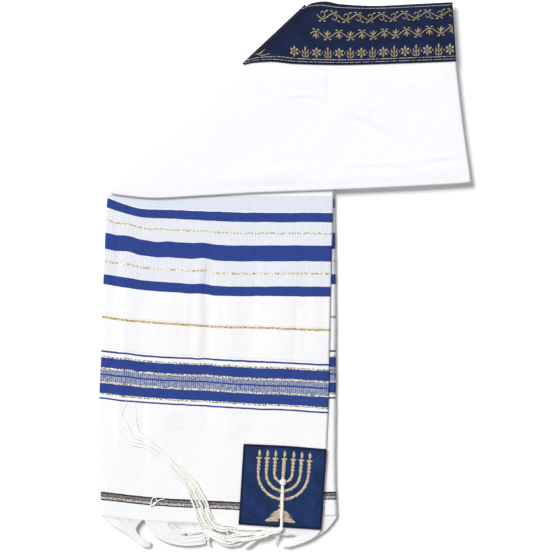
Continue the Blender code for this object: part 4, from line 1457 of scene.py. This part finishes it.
def pile(name, outline, heights, finish):
    """A stack of rounded layers over a flat foot, from its outline and ring heights."""
    count = len(outline)
    closed = outline[-1:] + outline + outline[:1]
    into = [inward(closed[k:k + 3], 1) for k in range(count)]
    bm = bmesh.new()
    inset, z = heights[0]
    loop = [bm.verts.new(Vector((p.x + n.x * inset, p.y + n.y * inset, z)) * MM)
            for p, n in zip(outline, into)]
    foot = bm.faces.new(loop)
    foot.normal_update()
    if foot.normal.z > 0:
        foot.normal_flip()
    edges = foot.edges[:]
    for inset, z in heights[1:]:
        made = bmesh.ops.extrude_edge_only(bm, edges=edges)["geom"]
        fresh = {v for v in made if isinstance(v, bmesh.types.BMVert)}
        after = []
        for k, v in enumerate(loop):
            new = next(e.other_vert(v) for e in v.link_edges if e.other_vert(v) in fresh)
            reach = inset + 0.25 * ripple(outline[k].x, outline[k].y, 26.0, z * 3.1)
            new.co = Vector((outline[k].x + into[k].x * reach, outline[k].y + into[k].y * reach, z)) * MM
            after.append(new)
        edges = [bm.edges.get((a, b)) for a, b in zip(after, after[1:] + after[:1])]
        loop = after
    bm.faces.new(loop)
    bmesh.ops.recalc_face_normals(bm, faces=bm.faces)
    write_threads(bm, {v: (v.co.x, v.co.y + v.co.z) for v in bm.verts})
    return finish_piece(name, bm, finish)


def ring_heights(start, layers, layer):
    """The rings of a pile from its start height, each with its inset and its height."""
    rings = []
    for k in range(layers):
        base = start + k * layer
        rings += [(inset, base + share * layer) for inset, share in LAYER_EDGE]
    return rings + [(0.7, start + layers * layer)]


def finely(points, step=9.0):
    """The same outline with more points, so that its edges can waver."""
    dense = []
    for a, b in zip(points, points[1:] + points[:1]):
        parts = max(1, int((b - a).length / step))
        dense += [a.lerp(b, k / parts) for k in range(parts)]
    return dense


print("rings in a pile of two layers", len(ring_heights(0.0, 2, 1.0)))

# %% [markdown]
# The low pile fills the whole folded shawl, and the high pile lies only under the upper
# stretch, where more layers are. Their outlines are read from the same side tables as the
# cloth, a little inside it, so that the cloth covers them from above.

# %% Hidden layers
slant = [side_of(UPPER_LEFT, t) + Vector((1.3, -1.3))
         for t in (0.965, 0.9, 0.84, 0.68, 0.5, 0.32, 0.14)]
right = [side_of(UPPER_RIGHT, t) + Vector((-1.7, 0.0)) for t in (0.06, 0.2, 0.42, 0.68, 0.84, 0.95)]
top = [Vector((213.2, 352.2))] + [side_of(UPPER_TOP, s) + Vector((0.0, -1.8))
                                  for s in (0.9, 0.73, 0.6, 0.46, 0.35, 0.24, 0.14, 0.08)]
beyond = [side_of(UPPER_BOTTOM, s) + Vector((0.0, 1.8)) for s in (0.66, 0.74, 0.81, 0.9, 0.97)]
down = [Vector((smooth(SIDES, y)[0] + 1.2, y)) for y in (88, 55, 2, -54, -106, -150, -200, -253, -290)]
foot_line = [Vector(p) for p in ((-235.0, -308.0), (-226.0, -311.0), (56.0, -311.0), (62.0, -305.0))]
up = [Vector((smooth(SIDES, y)[2] - 2.6, y)) for y in (-290, -200, -100, 0, 60)] + [Vector((62.6, 112.6))]
whole = finely(slant + [Vector((-226.0, 108.0))] + down + foot_line + up + beyond + right + top)
low_pile = pile("hidden_pile_low", whole, ring_heights(0.05, 2, 1.27), PILE_WHITE)
notch = [Vector((-196.0, 135.0)), Vector((-81.0, 126.0)), Vector((68.0, 135.5)), Vector((69.0, 115.0))]
above = finely([p for p in slant if p.y > 140.0] + notch + beyond + right + top)
high_pile = pile("hidden_pile_high", above, ring_heights(2.62, 2, 1.47), PILE_WHITE)
for piece in (low_pile, high_pile):
    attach(piece, "root")
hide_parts("hidden_layers")
print("pile outlines", len(whole), "and", len(above), "points")

# %% [markdown]
# Fringe is warp yarn left long past the hem and twisted in pairs. A strand here is two plies
# that wind about each other: each ply is a curve with a round bevel, and the curves of a whole
# group are turned into one mesh. Hair would be quicker to comb, but it can't be twisted in
# pairs, and it has to be a mesh in the end.

# %% Twisted strands
PLIES = 2


def ply_curve(name, bevel):
    data = bpy.data.curves.new(name, "CURVE")
    data.dimensions = "3D"
    data.bevel_depth = bevel * MM
    data.bevel_resolution = 1
    data.use_fill_caps = True
    return data


def add_ply(data, points, widths):
    spline = data.splines.new("POLY")
    spline.points.add(len(points) - 1)
    for at, point, width in zip(spline.points, points, widths):
        at.co = (point.x * MM, point.y * MM, point.z * MM, 1.0)
        at.radius = width


def add_twist(data, path, apart, turns, widths, start):
    """Two plies wound about a path of points."""
    for ply in range(PLIES):
        points = []
        for k, at in enumerate(path):
            ahead = (path[min(k + 1, len(path) - 1)] - path[max(k - 1, 0)]).normalized()
            side = Vector((-ahead.y, ahead.x, 0.0)).normalized()
            up = ahead.cross(side)
            turn = start + 2 * math.pi * (turns * k / (len(path) - 1) + ply / PLIES)
            reach = apart * widths[k]
            points.append(at + side * (reach * math.cos(turn)) + up * (reach * 0.75 * math.sin(turn)))
        add_ply(data, points, widths)


def curve_piece(name, data, finish):
    holder = bpy.data.objects.new(name + "_curve", data)
    bpy.context.collection.objects.link(holder)
    bpy.context.view_layer.update()
    mesh = bpy.data.meshes.new_from_object(holder.evaluated_get(bpy.context.evaluated_depsgraph_get()))
    bpy.data.objects.remove(holder, do_unlink=True)
    mesh.name = name
    mesh.materials.clear()
    mesh.materials.append(finish)
    mesh.shade_smooth()
    piece = bpy.data.objects.new(name, mesh)
    bpy.context.collection.objects.link(piece)
    return piece


def bend(start, lean, pull, end, share):
    rest = 1 - share
    return (start * rest ** 3 + lean * (3 * share * rest ** 2)
            + pull * (3 * share ** 2 * rest) + end * share ** 3)


print("plies to a strand", PLIES)

# %% [markdown]
# The hem's fringe falls in groups that were swept to the right. A group is held by a few guide
# strands, each with its root, two bends and its tip, and the strands between blend from the
# guides. Every strand could be drawn by hand instead, but there are 181 of them.

# %% Fringe guides
FRONT_GUIDES = (
    # count, tip height, then root, two bends and tip of each guide strand
    (24, 3.0, (
        (-237.0, -313.3, -228.5, -326.9, -210.3, -329.6, -181.7, -354.6),
        (-212.9, -317.9, -210.3, -326.9, -202.5, -336.1, -178.5, -352.3),
        (-186.9, -321.1, -197.3, -328.2, -201.2, -333.4, -176.5, -348.4))),
    (20, 3.4, (
        (-183.0, -321.1, -177.8, -338.7, -153.1, -358.2, -107.6, -349.1),
        (-168.7, -322.4, -163.5, -338.7, -142.7, -352.9, -103.7, -345.2),
        (-154.5, -323.8, -152.5, -335.0, -139.0, -344.0, -103.7, -333.0))),
    (21, 4.6, (
        (-154.5, -324.4, -152.0, -334.6, -138.6, -343.0, -103.7, -331.5),
        (-131.0, -325.7, -127.1, -330.9, -118.0, -334.1, -99.8, -332.8),
        (-105.0, -327.6, -103.7, -332.2, -102.4, -337.4, -98.5, -342.6))),
    (4, 2.0, (
        (-107.6, -327.5, -105.0, -334.8, -102.4, -343.9, -97.2, -352.9),
        (-101.1, -327.6, -98.5, -336.1, -97.2, -343.9, -102.4, -350.4))),
    (24, 4.4, (
        (-101.1, -327.6, -95.9, -330.9, -85.5, -332.4, -64.7, -332.2),
        (-72.5, -329.6, -67.3, -331.5, -56.9, -333.4, -43.9, -332.8),
        (-46.5, -330.9, -42.6, -333.4, -36.1, -335.4, -28.3, -334.8))),
    (9, 2.4, (
        (-104.0, -327.6, -98.0, -350.0, -70.0, -360.0, -50.5, -344.5),
        (-100.0, -327.6, -94.0, -344.0, -68.0, -355.0, -52.0, -345.0))),
    (9, 4.2, (
        (-47.5, -330.9, -36.1, -338.7, -42.6, -346.4, -55.6, -354.6),
        (-32.0, -331.5, -29.6, -338.7, -37.4, -345.2, -50.4, -353.6))),
    (26, 3.2, (
        (-30.9, -331.5, -25.7, -337.4, -17.9, -340.6, -8.8, -338.0),
        (-2.3, -332.8, 0.3, -336.7, 6.8, -338.0, 14.6, -336.1),
        (22.0, -332.8, 25.0, -337.4, 21.1, -341.2, 13.3, -345.2))),
    (2, 3.2, (
        (-10.1, -332.8, -8.8, -337.4, -12.7, -342.6, -14.7, -350.4),
        (-7.5, -332.8, -6.2, -337.4, -10.8, -343.2, -13.4, -348.4))),
    (12, 3.8, (
        (23.7, -332.8, 23.7, -339.9, 14.6, -347.8, -1.0, -352.2),
        (44.5, -332.2, 41.9, -338.7, 26.3, -347.8, 1.6, -353.6))),
)
BACK_GUIDES = (
    (30, 2.4, (
        (65.6, -313.3, 58.8, -328.2, 40.6, -345.2, -3.6, -354.4),
        (49.7, -313.3, 44.5, -328.2, 30.2, -341.2, 0.3, -352.9),
        (23.7, -313.3, 22.4, -328.2, 17.2, -339.9, 5.5, -347.8))),
)
print("groups", len(FRONT_GUIDES) + len(BACK_GUIDES))

# %% [markdown]
# Here and there the strands part and leave a slit. `part_strands` pushes a point away from the
# slits near it, most at a slit's middle. `hem_height` gives the hem's place, which drops to the
# right like any weft line. The guides could be drawn round each slit, but every strand near it
# would then need its own bends.

# %% Slits and hem line
SLITS = (
    # x, y, angle, half length, opening
    (-131.6, -338.1, 15.0, 8.5, 2.2),
    (-73.2, -335.1, -5.0, 10.0, 3.4),
    (-61.5, -346.8, 8.0, 6.0, 1.8),
    (-33.5, -332.5, 0.0, 4.0, 1.8),
    (-27.0, -337.4, 12.0, 3.5, 1.6),
    (-111.0, -299.0, 105.0, 5.0, 1.6),
)


def part_strands(x, y):
    """Push a point out of the slits between the strands."""
    for sx, sy, angle, half, opening in SLITS:
        c, d = math.cos(math.radians(angle)), math.sin(math.radians(angle))
        u, v = (x - sx) * c + (y - sy) * d, (y - sy) * c - (x - sx) * d
        push = opening * hump(u, 0.0, 1.3 * half) * math.exp(-abs(v) / (3.0 * opening))
        push = math.copysign(push, v)
        x, y = x - d * push, y + c * push
    return x, y


def hem_height(x):
    fold = smooth(SIDES, HEM)[0] + FOLD_LOW
    edge = smooth(SIDES, SIDES[0][0])[1]
    return HEM - weft_drop(-HEM, min(max((x - fold) / (edge - fold), 0.0), 1.0))


print("slits", len(SLITS))

# %% [markdown]
# Each strand leaves the hem, bends over and comes to rest near the surface at its tip. Its path
# is one smooth bend between four points, with a little noise, so that no two strands are alike.
# The strands of a small group are held together more closely. The back leaf has its own fringe,
# lower down, which shows at the right.

# %% Hem fringe
PATH_STEPS = 20
SMALL_GROUP = 12
FRINGE_END = -353.4
PLY_RADIUS = 0.68
PLY_APART = 0.52
TWIST_LENGTH = 9.0
TIP_WIDTHS = (1.2, 1.05, 0.6)


def guided_paths(groups, root_height, root_z):
    paths = []
    for g, (count, tip_z, guides) in enumerate(groups):
        table = [(float(k),) + guide for k, guide in enumerate(guides)]
        for k in range(count):
            row = smooth(table, (len(guides) - 1) * k / (count - 1))
            j = [ripple(k * 7.3, g * 11.0 + n * 5.0, 3.0, 0.4) for n in range(6)]
            start = Vector((row[0], root_height(row[0]) + 1.6, 0.0))
            loose = 1.0 if count > SMALL_GROUP else 0.4
            a = Vector((row[2] + 1.5 * loose * j[0], row[3] + 1.5 * loose * j[1], 0.0))
            b = Vector((row[4] + 2.5 * loose * j[1], row[5] + 2.2 * loose * j[2], 0.0))
            c = Vector((row[6] + 4.5 * loose * j[3], row[7] + 2.2 * loose * j[4], 0.0))
            low = tip_z + 1.6 * abs(j[5])
            path = []
            for n in range(PATH_STEPS + 1):
                share = n / PATH_STEPS
                at = bend(start, a, b, c, share)
                x, y = part_strands(at.x, at.y)
                fall = soft_step((share - 0.25) / 0.75)
                path.append(Vector((x, max(y, FRINGE_END), root_z + (low - root_z) * fall)))
            paths.append(path)
    return paths


def fringe(name, paths):
    data = ply_curve(name, PLY_RADIUS)
    for k, path in enumerate(paths):
        length = sum((b - a).length for a, b in zip(path, path[1:]))
        widths = [1.0] * (len(path) - len(TIP_WIDTHS)) + list(TIP_WIDTHS)
        add_twist(data, path, PLY_APART, max(1.0, length / TWIST_LENGTH), widths, start=k * 1.9)
    return curve_piece(name, data, FRINGE_WHITE)


front_paths = guided_paths(FRONT_GUIDES, hem_height, LOW_TOP - 0.5)
front_fringe = fringe("hem_fringe_front", front_paths)
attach(front_fringe, "root")
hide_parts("front_fringe")

back_paths = guided_paths(BACK_GUIDES, lambda x: HEM - 1.8, LOW_BACK + 0.5)
back_fringe = fringe("hem_fringe_back", back_paths)
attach(back_fringe, "root")
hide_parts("back_fringe")
print("strands", len(front_paths) + len(back_paths))

# %% [markdown]
# The knotted corner fringe passes through its hole in the patch and is wound and knotted down
# over the hem. The wound part is one long cord that winds round a core, with a larger radius at
# the knots, and a ball of cord closes the hole. A screw modifier could wind it, but it can't
# swell at the knots or follow the cloth below.

# %% Wound drop
HOLE = (-3.6, -268.4)
DROP_FOOT = (-5.6, -328.0)
DROP_RADIUS = 1.45
KNOTS = (
    # share of the drop, radius
    (0.0, 2.6), (0.36, 1.9), (0.68, 1.8), (1.0, 1.5),
)
WRAPS, WRAP_STEPS = 46, 14
KNOT_TURNS, KNOT_STEPS = 7, 15
CORE_STEPS = 40
WINDING_RADIUS = 0.66
COVER = 0.8


def front_surface(x, y):
    """The height of the front leaf under a place, found in a few rounds from its weft's drop."""
    left, across = y, 0.5
    for _ in range(4):
        fold = smooth(SIDES, left)[0] + FOLD_LOW
        edge = smooth(SIDES, y)[1]
        across = min(max((x - fold) / (edge - fold), 0.0), 1.0)
        left = min(max(y + weft_drop(-left, across), HEM), 105.0)
    return LOW_TOP + swell(left, across)


def drop_radius(share):
    radius = DROP_RADIUS
    for at, size in KNOTS:
        radius = max(radius, DROP_RADIUS + (size - DROP_RADIUS) * hump(share, at, 0.11))
    return radius


def drop_middle(share):
    x = HOLE[0] + (DROP_FOOT[0] - HOLE[0]) * share
    y = HOLE[1] + 3.0 + (DROP_FOOT[1] - HOLE[1] - 4.0) * share
    base = front_surface(x, max(y, -324.0)) + PATCH_LIFT + 0.4
    return Vector((x, y, base + drop_radius(share) * COVER))


drop_data = ply_curve("corner_drop", WINDING_RADIUS)
winding = []
for n in range(WRAPS * WRAP_STEPS + 1):
    share = n / (WRAPS * WRAP_STEPS)
    middle, radius = drop_middle(share), drop_radius(share)
    turn = 2 * math.pi * n / WRAP_STEPS
    winding.append(middle + Vector((radius * math.cos(turn), 0.0, COVER * radius * math.sin(turn))))
add_ply(drop_data, winding, [1.0] * len(winding))
ball = Vector((HOLE[0], HOLE[1], drop_middle(0.0).z + 0.6))
knot = []
for n in range(KNOT_STEPS * KNOT_TURNS + 1):
    tilt = math.pi * n / (KNOT_STEPS * KNOT_TURNS)
    turn = 2 * math.pi * n / KNOT_STEPS
    out = 3.6 * math.sin(tilt)
    knot.append(ball + Vector((out * math.cos(turn), 3.9 * math.cos(tilt), 0.7 * out * math.sin(turn))))
add_ply(drop_data, knot, [1.25] * len(knot))
shares = [n / CORE_STEPS for n in range(CORE_STEPS + 1)]
add_ply(drop_data, [drop_middle(share) for share in shares],
        [drop_radius(share) * COVER / WINDING_RADIUS for share in shares])
print("winding turns", WRAPS)

# %% [markdown]
# Below the last knot eight free strands lie back across the cloth. They share one middle line, given in a
# table, and spread from it, each in its own lane and to its own length. Each strand keeps just above
# whatever it lies on. Cloth simulation could let them fall, but not along this line.

# %% Lines of the free strands
FREE_LINE = (
    # x, y, pitch of the lanes, clearance
    (-4.9, -326.9, 0.5, 3.0),
    (-8.8, -331.0, 0.6, 3.4),
    (-20.5, -332.8, 0.9, 3.0),
    (-36.1, -335.7, 1.7, 2.4),
    (-53.0, -337.4, 2.3, 1.6),
    (-72.5, -337.6, 2.7, 1.2),
    (-88.1, -333.8, 2.6, 1.2),
    (-99.8, -324.4, 2.5, 1.2),
    (-106.3, -311.4, 2.6, 1.2),
    (-110.9, -296.4, 2.7, 1.2),
    (-115.4, -288.0, 2.6, 1.2),
    (-125.2, -269.8, 2.1, 1.2),
    (-140.1, -254.2, 1.9, 1.2),
    (-153.1, -239.2, 1.9, 1.2),
    (-166.1, -228.2, 1.8, 1.2),
    (-182.9, -216.8, 2.2, 1.2),
    (-199.8, -209.0, 3.8, 1.2),
    (-209.6, -196.3, 4.3, 1.2),
    (-220.7, -181.4, 4.8, 1.2),
)
FREE_LANES = (
    # lane, share of the line that it reaches
    (-3.6, 0.955), (-2.6, 0.90), (-1.5, 0.985), (-0.5, 0.93),
    (0.5, 1.0), (1.5, 0.94), (2.6, 0.90), (3.6, 0.86),
)
WISPS = (
    # thickness, then the points of each loose thread
    (1.5, (-175.4, -300.2), (-174.4, -293.0), (-172.0, -289.2), (-166.0, -288.4)),
    (1.5, (-174.0, -299.2), (-170.0, -295.6), (-164.0, -292.0), (-157.6, -290.4)),
    (1.3, (-171.5, -298.8), (-167.5, -294.0), (-168.6, -289.8)),
    (0.55, (-212.9, -180.5), (-209.0, -169.4), (-206.9, -160.0)),
    (0.55, (-193.4, -196.0), (-194.7, -178.5), (-195.8, -161.9)),
)

free_table, length = [], 0.0
for k, row in enumerate(FREE_LINE):
    if k:
        length += math.hypot(row[0] - FREE_LINE[k - 1][0], row[1] - FREE_LINE[k - 1][1])
    free_table.append((length,) + row)
print("free line", round(length), "mm")

# %% [markdown]
# A strand rests on the cloth, or on the fringe beyond its hem, and thins towards its end. It is
# twisted like the fringe. The loose threads at the far end are single plies. All of the corner
# fringe is turned into one mesh at the end.

# %% Knotted corner fringe
STRAND_STEPS = 80
STRAND_APART = 0.72
LOOSE_STEPS = 24


def ground_height(x, y):
    """The height that a strand rests on: the cloth, or the fringe beyond its hem."""
    share = soft_step((y - hem_height(x) + 9.0) / 7.0)
    return (LOW_TOP - 1.0) * (1 - share) + (front_surface(x, y) * share if share else 0.0)


def strand_width(share):
    return max(0.45, 1.12 - 3.6 * max(share - 0.5, 0.0))


def free_path(lane, reach, seed):
    path, widths = [], []
    for n in range(STRAND_STEPS + 1):
        at = reach * length * n / STRAND_STEPS
        x, y, pitch, clear = smooth(free_table, at)
        x1, y1 = smooth(free_table, min(at + 3.0, length))[:2]
        x0, y0 = smooth(free_table, max(at - 3.0, 0.0))[:2]
        run = Vector((x1 - x0, y1 - y0)).normalized()
        wander = 0.4 * math.sin(at * 0.06 + seed * 2.1) * soft_step((at - 15.0) / 25.0)
        off = (lane + wander) * pitch
        px, py = part_strands(x - run.y * off, y + run.x * off)
        widths.append(strand_width(at / length))
        path.append(Vector((px, py, ground_height(px, py) + clear * widths[-1])))
    return path, widths


for k, (lane, reach) in enumerate(FREE_LANES):
    path, widths = free_path(lane, reach, k)
    long = sum((b - a).length for a, b in zip(path, path[1:]))
    add_twist(drop_data, path, STRAND_APART, long / TWIST_LENGTH, widths, start=k * 1.3)
    print("free strand", k, round(long), "mm")
for thick, *points in WISPS:
    table = [(float(n), x, y) for n, (x, y) in enumerate(points)]
    path = []
    for n in range(LOOSE_STEPS + 1):
        x, y = smooth(table, (len(points) - 1) * n / LOOSE_STEPS)
        path.append(Vector((x, y, ground_height(x, y) + 0.6 * thick)))
    add_ply(drop_data, path, [thick * (1.0 - 0.02 * n) for n in range(LOOSE_STEPS + 1)])
corner_fringe = curve_piece("corner_fringe_cords", drop_data, IVORY)
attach(corner_fringe, "root")
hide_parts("corner_fringe")
